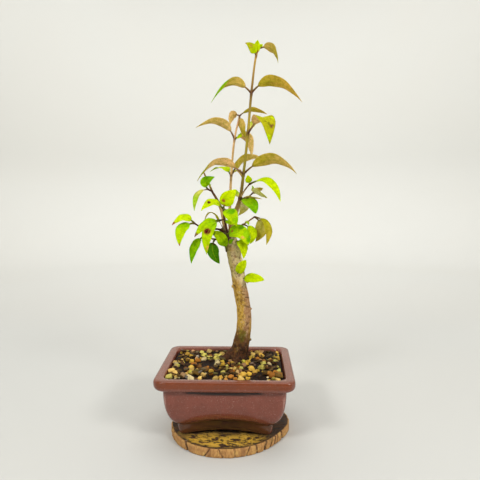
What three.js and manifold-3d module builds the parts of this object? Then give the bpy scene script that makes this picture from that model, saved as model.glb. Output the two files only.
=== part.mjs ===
// California privet bonsai in a glazed rectangular pot, standing on a round slice of wood.
// Millimetres, +Z up, +X to the right and -Y towards whoever looks at the front of the pot.
// The origin is on the underside of the wood slice, straight below the middle of the pot.
import * as THREE from 'three';
import { mergeVertices } from 'three/addons/utils/BufferGeometryUtils.js';
import Module from 'manifold-3d';

// Driving dimensions
const GAP = 0.3;
const POT_LENGTH = 150;
const POT_WIDTH = 120;
const POT_HEIGHT = 69;
const SLICE_THICKNESS = 10;
const POT_BASE = SLICE_THICKNESS;
const RIM_CORNER_RADIUS = 11;
const CORNER_STEPS = 4;
const LONG_SIDE_STEPS = 8;
const SHORT_SIDE_STEPS = 4;
const ARCH_HALF_SPAN_FRONT = 44;
const ARCH_HALF_SPAN_SIDE = 30;
const SIDE_ARCH_SHARE = 0.6;
const DRAIN_HOLE_RADIUS = 6;
const DRAIN_HOLE_X = 28;
const DRAIN_HOLE_SIDES = 20;
const MESH_SIZE = 24;
const MESH_THICKNESS = 1.2;
const MESH_HOLES = 3;
const MESH_BAR = 1.2;
const SOIL_Z = 75.6;
const SOIL_MOUND = 2;
const SOIL_MOUND_REACH = [28, 15];
const SOIL_MOUND_SIDES = 12;
const SOIL_CORNER = 9;
const SOIL_EDGE_INSET = 11.5;
const GRAIN_COUNT = 90;
const GRAIN_HALF = [1.9, 3];
const GRAIN_JITTER = 0.3;
const GRAIN_HEIGHT_SHARE = 0.85;
const GRAIN_TILT = 0.7;
const GRAIN_RISE_SHARE = 0.25;
const GRAIN_SPACING = 2.5;
const GRAIN_TRIES = 8000;
const SEED = 20;
const LEAF_THICKNESS = 0.8;
const PETIOLE_RADIUS = 0.6;
const PETIOLE_SHARE = 0.15;
const SMALL_LEAF_WIDTH = 10;
const LEAF_FOLD = 14;
const LEAF_POINT = 0.85;
const LEAF_SKEW = 0.72;
const LEAF_TIP_HALF = 0.3;
const BLADE_STATIONS = [0.16, 0.38, 0.62, 0.84, 1];
const SOCKET_RADIUS = 0.9;
const STEM_SIDES = 6;
const TRUNK_SIDES = 12;
const ROOT_SIDES = 6;
const FLOOR_THICKNESS = 6;
const FLOOR_Z = POT_BASE + 18;

const wasm = await Module();
wasm.setup();

// A repeatable draw between 0 and 1
function makeRandom(seed) {
  let state = seed;
  return () => {
    state = (state * 1664525 + 1013904223) % 4294967296;
    return state / 4294967296;
  };
}

// A closed body through rings of equal length, with a flat fan over each end
function loft(rings) {
  const sides = rings[0].length;
  const positions = [];
  for (const ring of rings) {
    for (const point of ring) {
      positions.push(point.x, point.y, point.z);
    }
  }
  const index = [];
  for (let k = 0; k + 1 < rings.length; k += 1) {
    for (let i = 0; i < sides; i += 1) {
      const j = (i + 1) % sides;
      const a = k * sides + i;
      const b = k * sides + j;
      index.push(a, b, b + sides, a, b + sides, a + sides);
    }
  }
  const last = (rings.length - 1) * sides;
  for (let i = 1; i + 1 < sides; i += 1) {
    index.push(0, i + 1, i);
    index.push(last, last + i, last + i + 1);
  }
  const geometry = new THREE.BufferGeometry();
  geometry.setAttribute('position', new THREE.Float32BufferAttribute(positions, 3));
  geometry.setIndex(index);
  return geometry;
}

// Turns a closed three.js geometry into a solid for joining and cutting
function solid(geometry) {
  const bare = geometry.clone();
  bare.deleteAttribute('normal');
  bare.deleteAttribute('uv');
  const merged = mergeVertices(bare, 1e-4);
  return new wasm.Manifold(new wasm.Mesh({
    numProp: 3,
    vertProperties: Float32Array.from(merged.attributes.position.array),
    triVerts: Uint32Array.from(merged.index.array),
  }));
}

// Turns a solid back into a geometry, without any loose scrap that a cut left
function geometryOf(body) {
  const pieces = body.decompose().sort((a, b) => b.volume() - a.volume());
  const mesh = pieces[0].getMesh();
  const geometry = new THREE.BufferGeometry();
  geometry.setAttribute('position', new THREE.Float32BufferAttribute(mesh.vertProperties, 3));
  geometry.setIndex(Array.from(mesh.triVerts));
  geometry.computeVertexNormals();
  return geometry;
}

const vector = (point) => new THREE.Vector3(point[0], point[1], point[2]);

// A round bar along hand-chosen points [x, y, z, radius], with extra added to every radius
function bar(points, sides, extra = 0, steps = 2) {
  const curve = new THREE.CatmullRomCurve3(points.map(vector), false, 'centripetal');
  const count = (points.length - 1) * steps;
  const rings = [];
  for (let k = 0; k <= count; k += 1) {
    const t = k / count;
    const centre = curve.getPoint(t);
    const along = curve.getTangent(t).normalize();
    const side = new THREE.Vector3(0, 1, 0).cross(along).normalize();
    const front = new THREE.Vector3().crossVectors(along, side);
    const place = t * (points.length - 1);
    const lower = Math.min(Math.floor(place), points.length - 2);
    const radius = THREE.MathUtils.lerp(points[lower][3], points[lower + 1][3], place - lower) + extra;
    if (k === 0) {
      centre.addScaledVector(along, -extra);
    }
    const ring = [];
    for (let i = 0; i < sides; i += 1) {
      const angle = (2 * Math.PI * i) / sides;
      ring.push(centre.clone()
        .addScaledVector(side, radius * Math.cos(angle))
        .addScaledVector(front, radius * Math.sin(angle)));
    }
    rings.push(ring);
  }
  return loft(rings);
}

// Half width of a privet blade, 0 to 1, at a share of its length: widest before the middle, and the
// less it narrows to a point the smaller `point` is
function bladeProfile(share, point) {
  return Math.sin(Math.PI * share ** LEAF_SKEW) ** point;
}

// The line of a leaf's midrib, from the foot of its stalk over its middle to its tip
function midribCurve(from, over, tip) {
  const start = vector(from);
  const end = vector(tip);
  const control = vector(over).multiplyScalar(2).addScaledVector(start, -0.5).addScaledVector(end, -0.5);
  return new THREE.QuadraticBezierCurve3(start, control, end);
}

// One leaf with its stalk: it grows from `from`, arches over `over` and ends at `tip`.
// `lean` is how far its upper face turns to the front, at the stalk and at the tip:
// 1 faces the front, 0 faces up and out, -1 faces the back.
function leafGeometry(from, over, tip, width, lean, fold = LEAF_FOLD, point = LEAF_POINT) {
  const midrib = midribCurve(from, over, tip);
  const heading = vector(tip).sub(vector(from)).setZ(0);
  if (heading.length() < 1) {
    heading.set(0, -1, 0);
  }
  heading.normalize();
  const sections = [[0, 0], [PETIOLE_SHARE, 0]];
  for (const share of BLADE_STATIONS) {
    sections.push([PETIOLE_SHARE + (1 - PETIOLE_SHARE) * share, share]);
  }
  const places = width < SMALL_LEAF_WIDTH ? [-1, 0, 1] : [-1, -0.5, 0, 0.5, 1];
  const rings = [];
  for (const [t, share] of sections) {
    const centre = midrib.getPoint(t);
    const along = midrib.getTangent(t).normalize();
    const turn = THREE.MathUtils.lerp(lean[0], lean[1], t);
    const upright = Math.sqrt(1 - turn * turn);
    const face = new THREE.Vector3(0, -turn, upright).addScaledVector(heading, 0.5 * upright);
    const normal = face.addScaledVector(along, -face.dot(along)).normalize();
    const side = new THREE.Vector3().crossVectors(normal, along);
    const onStalk = share === 0;
    const profile = bladeProfile(Math.min(share, 0.995), point);
    const half = onStalk ? PETIOLE_RADIUS : Math.max(LEAF_TIP_HALF, (width / 2) * profile);
    const lift = onStalk ? 0 : Math.tan(THREE.MathUtils.degToRad(fold));
    const thick = onStalk ? PETIOLE_RADIUS : LEAF_THICKNESS / 2;
    const upper = [];
    const lower = [];
    for (const place of places) {
      const rounding = onStalk ? 1 - 0.55 * Math.abs(place) : 1;
      const cup = lift * half * (Math.abs(place) - 0.25 * place * place);
      const spot = centre.clone().addScaledVector(side, place * half);
      upper.push(spot.clone().addScaledVector(normal, cup + thick * rounding));
      lower.push(spot.clone().addScaledVector(normal, cup - thick * rounding));
    }
    rings.push(lower.concat(upper.reverse()));
  }
  return loft(rings);
}

// Rounded rectangle of the pot at an inset from its rim, with the points in the same order each time
function potRing(inset, z, frontLift = 0) {
  const halfX = POT_LENGTH / 2 - inset;
  const halfY = POT_WIDTH / 2 - inset;
  const radius = Math.max(4, RIM_CORNER_RADIUS - 0.2 * inset);
  const corners = [[1, 1, 0], [-1, 1, 1], [-1, -1, 2], [1, -1, 3]];
  const points = [];
  for (const [signX, signY, quarter] of corners) {
    for (let i = 0; i <= CORNER_STEPS; i += 1) {
      const angle = (Math.PI / 2) * (quarter + i / CORNER_STEPS);
      const x = signX * (halfX - radius) + radius * Math.cos(angle);
      const y = signY * (halfY - radius) + radius * Math.sin(angle);
      points.push(new THREE.Vector2(x, y));
    }
    const alongX = quarter % 2 === 0;
    const straight = alongX ? LONG_SIDE_STEPS : SHORT_SIDE_STEPS;
    const from = points[points.length - 1];
    const reach = alongX ? 2 * (halfX - radius) : 2 * (halfY - radius);
    const direction = alongX ? new THREE.Vector2(-signX, 0) : new THREE.Vector2(0, -signY);
    for (let i = 1; i < straight; i += 1) {
      points.push(from.clone().addScaledVector(direction, (reach * i) / straight));
    }
  }
  return points.map((point) => {
    const onLongSide = Math.abs(point.y) > halfY - 0.01;
    const place = onLongSide ? point.x / ARCH_HALF_SPAN_FRONT : point.y / ARCH_HALF_SPAN_SIDE;
    const onFlank = onLongSide || Math.abs(point.x) > halfX - 0.01;
    const arch = onFlank ? Math.max(0, 1 - place * place) * (onLongSide ? 1 : SIDE_ARCH_SHARE) : 0;
    return new THREE.Vector3(point.x, point.y, z + frontLift * arch);
  });
}

// The pot's section from the inner floor, over the rim, down the outside and under the feet:
// [inset from the rim, height above the pot's base, lift in the middle of the front]
const POT_SECTION = [
  [28, 18, 0],
  [25.5, 20, 0],
  [19.5, 28, 0],
  [14.6, 40, 0],
  [12.6, 53, 0],
  [10.6, 66.4, 0],
  [9.6, 68.4, 0],
  [8, POT_HEIGHT, 0],
  [2.6, POT_HEIGHT, 0],
  [0.7, 68.2, 0],
  [0, 66.4, 0],
  [0, 61.2, 0],
  [1.5, 58.3, 0],
  [4.6, 56.4, 0],
  [9.3, 55.5, 0],
  [8.6, 53.2, 0],
  [8.9, 45, 0],
  [9.8, 36, 0],
  [11.6, 28, 1.2],
  [14.2, 21.5, 3.2],
  [17.2, 16.8, 5],
  [20.4, 13.8, 6.2],
  [22.6, 13.6, 6],
  [22.6, 0, 5.6],
  [29, 0, 5.6],
  [30.5, 12, 0],
];
// How many rows of the section, from the start, the soil lies against
const SOIL_WALL_ROWS = 5;

function makePot() {
  const rings = POT_SECTION.map(([inset, height, lift]) => potRing(inset, POT_BASE + height, lift));
  let pot = solid(loft(rings.reverse()));
  for (const side of [-1, 1]) {
    const hole = new THREE.CylinderGeometry(
      DRAIN_HOLE_RADIUS, DRAIN_HOLE_RADIUS, 3 * FLOOR_THICKNESS, DRAIN_HOLE_SIDES);
    hole.rotateX(Math.PI / 2);
    hole.translate(side * DRAIN_HOLE_X, 0, FLOOR_Z);
    pot = pot.subtract(solid(hole));
  }
  return pot;
}

// A square of plastic mesh over a drain hole
function makeDrainMesh(side) {
  const pitch = (MESH_SIZE - MESH_BAR) / MESH_HOLES;
  const span = pitch - MESH_BAR;
  const first = (pitch - MESH_SIZE + MESH_BAR) / 2;
  let plate = solid(new THREE.BoxGeometry(MESH_SIZE, MESH_SIZE, MESH_THICKNESS));
  for (let row = 0; row < MESH_HOLES; row += 1) {
    for (let column = 0; column < MESH_HOLES; column += 1) {
      const hole = new THREE.BoxGeometry(span, span, 3 * MESH_THICKNESS);
      hole.translate(first + column * pitch, first + row * pitch, 0);
      plate = plate.subtract(solid(hole));
    }
  }
  return plate.translate(side * DRAIN_HOLE_X, 0, FLOOR_Z + GAP + MESH_THICKNESS / 2);
}

// Radius of the wood slice every 30 degrees, from +X round by +Y
const SLICE_CENTRE = [6, 0];
const SLICE_RADII = [67, 66, 64.5, 63.5, 64, 67.4, 71, 70.8, 68.4, 64.6, 62, 61.8];
const BARK_RIDGES = 54;
const BARK_RIDGE_DEPTH = 0.9;
const BARK_UNEVENNESS = 0.6;

function makeSlice() {
  const outline = new THREE.CatmullRomCurve3(SLICE_RADII.map((radius, k) => {
    const angle = (Math.PI / 6) * k;
    return new THREE.Vector3(radius * Math.cos(angle), radius * Math.sin(angle), 0);
  }), true);
  const random = makeRandom(SEED);
  const ridges = [];
  for (let i = 0; i < BARK_RIDGES; i += 1) {
    ridges.push((i % 2) * BARK_RIDGE_DEPTH + BARK_UNEVENNESS * random());
  }
  const top = SLICE_THICKNESS - GAP;
  const levels = [[0, 1.4], [1.2, 0.2], [top - 1, 0.2], [top, 1.6]];
  const rings = levels.map(([z, inset]) => ridges.map((ridge, i) => {
    const point = outline.getPoint(i / BARK_RIDGES);
    const shrink = 1 - (inset + ridge) / point.length();
    return new THREE.Vector3(point.x * shrink + SLICE_CENTRE[0], point.y * shrink + SLICE_CENTRE[1], z);
  }));
  return loft(rings);
}

// The trunk's line [x, y, z, radius]: from inside the soil up to the slanting pruned end
const TRUNK_LINE = [
  [10, 18, 53, 9.5],
  [11, 18.5, 67, 12.2],
  [11.6, 19.5, 76, 12.6],
  [13, 20.5, 83, 10.6],
  [15.7, 21, 93.7, 9.9],
  [18.6, 22, 108.7, 8.8],
  [19.6, 22.5, 123.6, 8.7],
  [18.7, 23, 138.4, 8.4],
  [16.3, 23, 153, 8.4],
  [13.5, 23, 167.6, 8.1],
  [11.7, 22.5, 182.2, 8.1],
  [8.6, 22, 196.6, 8.3],
  [6, 22, 211.2, 8.6],
  [1.6, 22, 221.6, 7.6],
  [-3.2, 21.5, 228.4, 5.4],
  [-6.6, 21, 233.4, 4.2],
];

// Surface roots that run out from the foot of the trunk and down into the soil
const ROOTS = [
  [[10, 19, 87, 6], [2, 17, 79.5, 6.2], [-7, 14, 74, 4.6], [-15, 11, 65, 2.6]],
  [[15, 21, 83, 5], [23, 25, 77, 4.4], [31, 30, 69, 2.4]],
  [[12, 17, 81, 5], [10, 8, 76.2, 4.4], [7, -2, 68, 2.4]],
  [[12, 23, 81, 5], [7, 31, 76, 4], [2, 38, 68, 2.2]],
];

// Bud nubs and old leaf scars on the trunk: [x, y, z, size]
const NUBS = [
  [-0.6, 17, 215, 1.6],
  [23.6, 20.5, 169, 1.5],
  [27.4, 20.5, 137, 1.6],
  [5.8, 20, 164, 1.6],
  [10.6, 14.9, 151, 1.4],
  [27, 18, 100, 1.5],
];

function makeTrunkBase() {
  let trunk = solid(bar(TRUNK_LINE, TRUNK_SIDES, 0, 1));
  for (const root of ROOTS) {
    trunk = trunk.add(solid(bar(root, ROOT_SIDES)));
  }
  for (const [x, y, z, size] of NUBS) {
    const nub = new THREE.IcosahedronGeometry(size, 0);
    nub.translate(x, y, z);
    trunk = trunk.add(solid(nub));
  }
  return trunk;
}

// The room that the foot of the trunk and its roots take in the soil, a gap wider than they are
function makeRootRoom() {
  let room = solid(bar(TRUNK_LINE.slice(0, 5), TRUNK_SIDES, GAP, 1));
  for (const root of ROOTS) {
    room = room.add(solid(bar(root, ROOT_SIDES, GAP)));
  }
  return room;
}

// Height of the soil, flat with a low mound round the trunk
function soilHeight(x, y) {
  const away = Math.hypot(x - TRUNK_LINE[2][0], y - TRUNK_LINE[2][1]);
  const rise = THREE.MathUtils.inverseLerp(SOIL_MOUND_REACH[0], SOIL_MOUND_REACH[1], away);
  return SOIL_Z + SOIL_MOUND * THREE.MathUtils.clamp(rise, 0, 1);
}

function makeMound() {
  const [wide, narrow] = SOIL_MOUND_REACH;
  const mound = new THREE.CylinderGeometry(narrow, wide, SOIL_MOUND, SOIL_MOUND_SIDES);
  mound.rotateX(Math.PI / 2);
  mound.translate(TRUNK_LINE[2][0], TRUNK_LINE[2][1], SOIL_Z + SOIL_MOUND / 2);
  return solid(mound);
}

// An angular grain of grit, half sunk in the soil
function makeGrain(half, random, x, y) {
  const grain = new THREE.BoxGeometry(2 * half, 2 * half, 2 * half * GRAIN_HEIGHT_SHARE);
  const position = grain.attributes.position;
  const shifts = new Map();
  for (let i = 0; i < position.count; i += 1) {
    const corner = [position.getX(i), position.getY(i), position.getZ(i)];
    const key = corner.map(Math.sign).join();
    if (!shifts.has(key)) {
      shifts.set(key, corner.map((value) => value * (1 - GRAIN_JITTER * 2 * random())));
    }
    position.setXYZ(i, ...shifts.get(key));
  }
  grain.rotateX(GRAIN_TILT * random());
  grain.rotateY(GRAIN_TILT * random());
  grain.rotateZ(2 * Math.PI * random());
  grain.translate(x, y, soilHeight(x, y) + GRAIN_RISE_SHARE * half);
  return solid(grain);
}

function makeSoil() {
  const rings = POT_SECTION.slice(0, SOIL_WALL_ROWS).map(([inset, height], k) => potRing(
    inset + GAP, POT_BASE + height + (k < 2 ? GAP : 0)));
  rings.push(potRing(SOIL_EDGE_INSET, SOIL_Z - 0.8));
  rings.push(potRing(SOIL_EDGE_INSET + 1, SOIL_Z));
  const bed = solid(loft(rings));
  const random = makeRandom(SEED);
  const placed = [];
  const room = makeRootRoom();
  const reachX = POT_LENGTH / 2 - SOIL_EDGE_INSET - 1;
  const reachY = POT_WIDTH / 2 - SOIL_EDGE_INSET - 1;
  const grains = [];
  for (let tries = 0; tries < GRAIN_TRIES && placed.length < GRAIN_COUNT; tries += 1) {
    const half = THREE.MathUtils.lerp(GRAIN_HALF[0], GRAIN_HALF[1], random());
    const x = (2 * random() - 1) * (reachX - 1.5 * half);
    const y = (2 * random() - 1) * (reachY - 1.5 * half);
    const clear = placed.every((grain) => Math.hypot(x - grain.x, y - grain.y)
      > GRAIN_SPACING * 0.5 * (half + grain.half));
    const fromTrunk = Math.hypot(x - TRUNK_LINE[2][0], y - TRUNK_LINE[2][1]);
    const cornerX = Math.abs(x) - reachX + SOIL_CORNER;
    const cornerY = Math.abs(y) - reachY + SOIL_CORNER;
    const inCorner = cornerX > 0 && cornerY > 0 && Math.hypot(cornerX, cornerY) > SOIL_CORNER - 1.8 * half;
    if (clear && !inCorner && fromTrunk > TRUNK_LINE[2][3] + half) {
      placed.push({ x, y, half });
      grains.push(makeGrain(half, random, x, y));
    }
  }
  let soil = wasm.Manifold.union([bed, makeMound(), ...grains]);
  soil = soil.subtract(room);
  for (const side of [-1, 1]) {
    const size = MESH_SIZE + 2 * GAP;
    const pocket = new THREE.BoxGeometry(size, size, MESH_THICKNESS + 2 * GAP);
    pocket.translate(side * DRAIN_HOLE_X, 0, FLOOR_Z + GAP + MESH_THICKNESS / 2);
    soil = soil.subtract(solid(pocket));
  }
  return soil;
}

// Every leafy shoot: its stems as points [x, y, z, radius], the first one rooted in the trunk, and
// its leaves as [stem, point of that stem, over, tip, width, lean at stalk, lean at tip, fold, point]
const SHOOTS = [
  {
    name: 'leader_shoot',
    stems: [
      [[4.5, 24, 219, 3.3], [8, 24, 239, 3.2], [10, 21, 252, 3], [15, 18, 268, 2], [19, 18, 296, 1.6],
        [24, 20, 342, 1.5], [28, 22, 388, 1.4], [33.4, 24, 430, 1.1], [36.6, 24, 438.6, 0.9]],
      [[15, 18, 268, 1], [21, 13, 278, 0.9], [26, 10, 284, 0.8]],
      [[14, 19, 264, 1], [23, 9, 268, 0.9], [30, 2, 274, 0.8]],
    ],
    leaves: [
      [0, 8, [51, 20, 436.5], [58, 14, 419], 14, -0.7, -0.5],
      [0, 7, [29, 20, 437.6], [21, 17, 442.4], 11, 0.85, 0.85],
      [0, 7, [34.4, 22, 439.5], [35.2, 21, 447], 8, 0.9, 0.9],
      [0, 8, [39, 23.5, 441], [41, 23, 442.8], 5, 0.8, 0.8],
      [0, 6, [6, 18, 398], [-17, 8, 375], 15, -0.75, -0.1, 28],
      [0, 6, [54, 18, 400], [85, 10, 375], 15, -0.8, -0.6],
      [0, 5, [42, -8, 355], [48, -18, 325], 22, -0.4, 0.8],
      [0, 5, [31, 36, 357], [37, 50, 367], 11, 0, 0],
      [0, 4, [-9, 8, 307], [-32, -4, 287], 17, -0.75, -0.1, 28],
      [0, 4, [50, 14, 312], [79, 4, 295], 17, -0.8, -0.6],
      [0, 3, [29, 6, 268], [40, -4, 267], 12, -0.3, -0.3],
      [0, 3, [27, 0, 263], [33, -10, 251], 15, 0.7, 0.9, LEAF_FOLD, 0.65],
      [0, 3, [20, 30, 258], [12, 38, 247], 13, 0, 0],
      [0, 3, [10, 30, 273], [9, 38, 279], 9, 0, 0],
      [1, 2, [47, 0, 286], [60, -12, 264], 14, 0.3, 0.7],
      [1, 2, [25, 6, 289], [24, 4, 294], 8, 0.6, 0.6],
      [2, 2, [30, 0, 278], [29, -3, 282], 4, 0.5, 0.5],
      [2, 2, [36, -4, 277], [41, -8, 279], 8, -0.4, -0.4],
      [2, 2, [38, -8, 273], [45, -16, 269], 16, -0.7, -0.7],
    ],
  },
  {
    name: 'side_shoot',
    stems: [
      [[3, 29, 220, 2], [2, 31, 243, 1.8], [3, 31, 276, 1.5], [4, 32, 295, 1.4], [8, 34, 338, 1.2],
        [14, 34, 365, 0.9]],
    ],
    leaves: [
      [0, 3, [-7, 42, 305], [-23, 50, 301], 13, 0.2, 0.2],
      [0, 3, [19, 46, 315], [41, 54, 317], 15, -0.5, -0.5],
      [0, 3, [11, 44, 302], [16, 50, 294], 9, 0, 0],
      [0, 4, [-9, 28, 357], [-36, 18, 349], 12, -0.6, -0.6],
      [0, 4, [23, 36, 340], [28, 34, 317], 13, -0.8, -0.8],
      [0, 4, [14, 31, 341], [15, 29, 345], 6, 0.6, 0.6],
      [0, 5, [6, 36, 366], [3, 30, 354], 11, -0.8, -0.8],
      [0, 5, [28, 42, 373], [47, 46, 369], 10, -0.4, -0.4],
      [0, 5, [16, 32, 354], [21, 30, 339], 12, -0.7, -0.7],
    ],
  },
  {
    name: 'left_upper_shoot',
    stems: [
      [[-1, 25, 224, 2.8], [-4, 24, 239, 2.7], [-6, 21, 252, 2.4], [-12, 16, 267, 1.5], [-17, 12, 276, 1.3],
        [-20, 10, 284, 1.1], [-26, 9, 297, 0.9]],
      [[-17, 12, 276, 1], [-21, 6, 278, 0.8]],
    ],
    leaves: [
      [1, 1, [-32, 0, 272], [-35, -8, 254], 9, 0.2, 0.4],
      [1, 1, [-23, 4, 286], [-13, 3, 292], 13, 0.7, 0.8],
    ],
  },
  {
    name: 'left_lower_shoot',
    stems: [
      [[-1, 20, 227, 1.4], [-9, 14, 232, 1.2], [-17, 10, 233, 1.1], [-30, 2, 236, 1], [-36, -2, 240, 0.9]],
    ],
    leaves: [
      [0, 4, [-47, -6, 246], [-60, -10, 238], 13, 0.6, 0.6],
      [0, 4, [-48, -12, 234], [-50, -20, 216], 14, 0.6, 0.8],
    ],
  },
  {
    name: 'centre_shoot',
    stems: [
      [[1, 19, 224, 1.3], [-1, 13, 234, 1.1], [-3, 10, 244, 1], [-4, 8, 256, 0.9]],
      [[-3, 10, 244, 0.8], [-7, 6, 243, 0.7]],
    ],
    leaves: [
      [0, 3, [-15, -4, 263], [-27, -12, 254], 13, 0.7, 0.7],
      [0, 3, [1, 4, 267], [11, 6, 278], 17, 0.85, 0.85],
      [0, 3, [5, -4, 250], [12, -6, 237], 16, 0.8, 0.8],
      [0, 2, [3.5, 4, 240.5], [9, 2.5, 238.5], 8, 0.6, 0.6],
      [1, 1, [-21, -2, 239], [-35, -10, 225], 15, 0.6, 0.6],
      [1, 1, [-19, -10, 232], [-21, -14, 206], 14, 0.8, 0.8],
    ],
  },
  {
    name: 'low_left_shoot',
    stems: [
      [[1, 18, 216, 1.3], [-8, 11, 220, 1.1], [-14, 8, 221, 1], [-26, 2, 225, 0.8]],
    ],
    leaves: [
      [0, 2, [-16, 4, 208], [-8, 0, 194], 14, 0.8, 0.8, LEAF_FOLD, 0.7],
      [0, 3, [-35, -4, 214], [-39, -8, 195], 12, 0.6, 0.6],
    ],
  },
  {
    name: 'right_shoot',
    stems: [
      [[6, 18, 229, 1.2], [12, 16, 235, 1.1], [19, 12, 238, 1], [32, 4, 247, 0.8]],
    ],
    leaves: [
      [0, 2, [30, 3, 229.5], [26.4, 0, 216.4], 9, 0.9, 0.9, LEAF_FOLD, 0.7],
      [0, 2, [23, 8, 241], [25, 6, 237], 5, 0.5, 0.5],
      [0, 3, [40, 8, 234], [33, 10, 218], 15, -0.8, -0.8],
      [0, 3, [46, -2, 237], [45, -6, 216], 11, 0.2, 0.2],
    ],
  },
];

// Single leaves that grow straight from the trunk:
// [name, root in the bark, over, tip, width, lean at stalk, lean at tip, point]
const TRUNK_LEAVES = [
  ['front_leaf', [-3.5, 18, 224], [14, 0, 230], [25, -8, 216], 18, 0.85, 0.9, 0.65],
  ['right_leaf_high', [8.5, 20, 218], [17.6, 12, 214.2], [19.2, 9, 198.4], 12, 0.6, 0.6, 0.75],
  ['right_leaf_middle', [11, 17, 178], [16, 9, 188], [22, 7.5, 197], 11, 0.9, 0.9, 0.6],
  ['right_leaf_low', [16, 19, 173], [29, 11, 175.5], [43, 7, 174], 12, 0.85, 0.85, 0.6],
  ['left_leaf_high', [-4, 22, 229], [-17, 16, 251], [-26, 8, 241], 5, 0.2, 0.2],
  ['left_leaf_low', [-1, 18, 206], [-7, 10, 222], [-20, 9, 230], 13, 0.6, 0.6],
  ['bud_leaf', [4, 16, 214], [4.5, 11, 218], [8, 8.5, 221], 5, 0.7, 0.7],
];

function makeShoot(shoot) {
  const bodies = shoot.stems.map((stem) => solid(bar(stem, STEM_SIDES)));
  for (const [stem, joint, over, tip, width, leanStalk, leanTip, fold, point] of shoot.leaves) {
    const from = shoot.stems[stem][joint];
    bodies.push(solid(leafGeometry(from, over, tip, width, [leanStalk, leanTip], fold, point)));
  }
  return wasm.Manifold.union(bodies);
}

const group = new THREE.Group();

function addPart(name, geometry, colour, roughness) {
  const material = new THREE.MeshStandardMaterial({ color: colour, roughness, metalness: 0 });
  const mesh = new THREE.Mesh(geometry, material);
  mesh.name = name;
  group.add(mesh);
}

addPart('wood_slice', makeSlice(), 0xa07040, 0.85);
addPart('pot', geometryOf(makePot()), 0x76483c, 0.3);
addPart('drain_mesh_left', geometryOf(makeDrainMesh(-1)), 0x2c2c2c, 0.6);
addPart('drain_mesh_right', geometryOf(makeDrainMesh(1)), 0x2c2c2c, 0.6);
addPart('soil', geometryOf(makeSoil()), 0x8a6a3c, 0.95);

let trunk = makeTrunkBase();
for (const shoot of SHOOTS) {
  trunk = trunk.subtract(solid(bar(shoot.stems[0], STEM_SIDES, GAP)));
  addPart(shoot.name, geometryOf(makeShoot(shoot)), 0x9ac010, 0.45);
}
for (const [name, root, over, tip, width, leanStalk, leanTip, point] of TRUNK_LEAVES) {
  const leaf = leafGeometry(root, over, tip, width, [leanStalk, leanTip], LEAF_FOLD, point);
  const midrib = midribCurve(root, over, tip);
  const socket = [0, 0.1, 0.2, 0.3].map((t) => [...midrib.getPoint(t).toArray(), SOCKET_RADIUS]);
  trunk = trunk.subtract(solid(bar(socket, STEM_SIDES, GAP, 1)));
  addPart(name, leaf, 0xb4d414, 0.45);
}
addPart('trunk', geometryOf(trunk), 0xb4966a, 0.9);

export default group;
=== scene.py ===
# California privet bonsai in a glazed pot on a slice of wood: surfaces, floor, light and camera.
import math
import random

import bmesh
import bpy
from bpy.props import FloatProperty, FloatVectorProperty, IntProperty, PointerProperty
from mathutils import Matrix, Vector, noise
from mathutils.geometry import interpolate_bezier


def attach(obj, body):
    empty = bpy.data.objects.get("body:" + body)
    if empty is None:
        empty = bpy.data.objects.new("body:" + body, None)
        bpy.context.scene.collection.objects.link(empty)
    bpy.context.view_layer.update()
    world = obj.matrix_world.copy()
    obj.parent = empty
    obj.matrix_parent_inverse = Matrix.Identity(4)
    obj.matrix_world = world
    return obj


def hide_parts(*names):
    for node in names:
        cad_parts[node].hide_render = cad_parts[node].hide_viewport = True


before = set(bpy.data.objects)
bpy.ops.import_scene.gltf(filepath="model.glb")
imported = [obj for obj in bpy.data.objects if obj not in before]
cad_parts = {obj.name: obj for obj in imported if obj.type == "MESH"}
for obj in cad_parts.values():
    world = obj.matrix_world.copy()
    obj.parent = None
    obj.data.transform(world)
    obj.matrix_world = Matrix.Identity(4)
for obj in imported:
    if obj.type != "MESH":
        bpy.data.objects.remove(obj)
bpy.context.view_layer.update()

bl_info = {
    "name": "Privet bonsai",
    "version": (1, 0, 0),
    "blender": (4, 5, 0),
    "location": "View3D > Sidebar > Bonsai",
    "description": "Finishes a privet bonsai in a glazed pot on a slice of wood",
    "category": "Add Mesh",
}

# The tables below are in millimetres, and this turns them into metres
MM = 0.001


def linear(red, green, blue):
    """Turns a screen colour, each part from 0 to 255, into the colour that a shader takes."""
    parts = []
    for value in (red, green, blue):
        share = value / 255
        parts.append(share / 12.92 if share <= 0.04045 else ((share + 0.055) / 1.055) ** 2.4)
    return tuple(parts)


def rgba(colour):
    """A colour of a setting or a table with its fourth part, as a vector that can be blended."""
    return Vector((*colour, 1))


# Colours of leaves, stems, bark, grit, glaze, plastic and paper, with the pot's painted highlight and
# painted shade
PALETTE = {name: rgba(linear(*parts)) for name, parts in {
    "lime": (184, 210, 3), "bright": (197, 218, 4), "citron": (174, 169, 20), "fresh": (150, 198, 6),
    "green": (104, 166, 6), "deep": (62, 116, 6), "shade": (70, 92, 40), "olive": (181, 161, 46),
    "moss": (120, 112, 24), "sand": (228, 190, 104), "gold": (218, 174, 72), "blush": (244, 196, 132),
    "straw": (206, 196, 96), "pale": (232, 224, 168), "tan": (220, 182, 113), "maroon": (66, 18, 20),
    "wine": (88, 12, 30), "rust": (158, 84, 40), "twig": (120, 92, 44), "umber": (66, 42, 30),
    "cork": (190, 150, 90), "stone": (206, 182, 136), "scar": (196, 156, 64), "rose": (186, 142, 98),
    "clay": (112, 70, 40), "flare": (80, 43, 26), "stub": (68, 56, 42), "ochre": (212, 170, 60),
    "amber": (186, 118, 44), "cream": (232, 212, 156), "white": (236, 230, 214), "pear": (196, 190, 70),
    "brown": (128, 84, 42), "slate": (120, 106, 92), "black": (30, 22, 18), "groove_shade_and_chip": (30, 10, 5),
    "painted_corner_highlight": (206, 158, 142), "speck": (222, 176, 160), "soot": (26, 26, 26), "coal": (52, 52, 50),
    "paper": (201, 201, 196),
}.items()}

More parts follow.
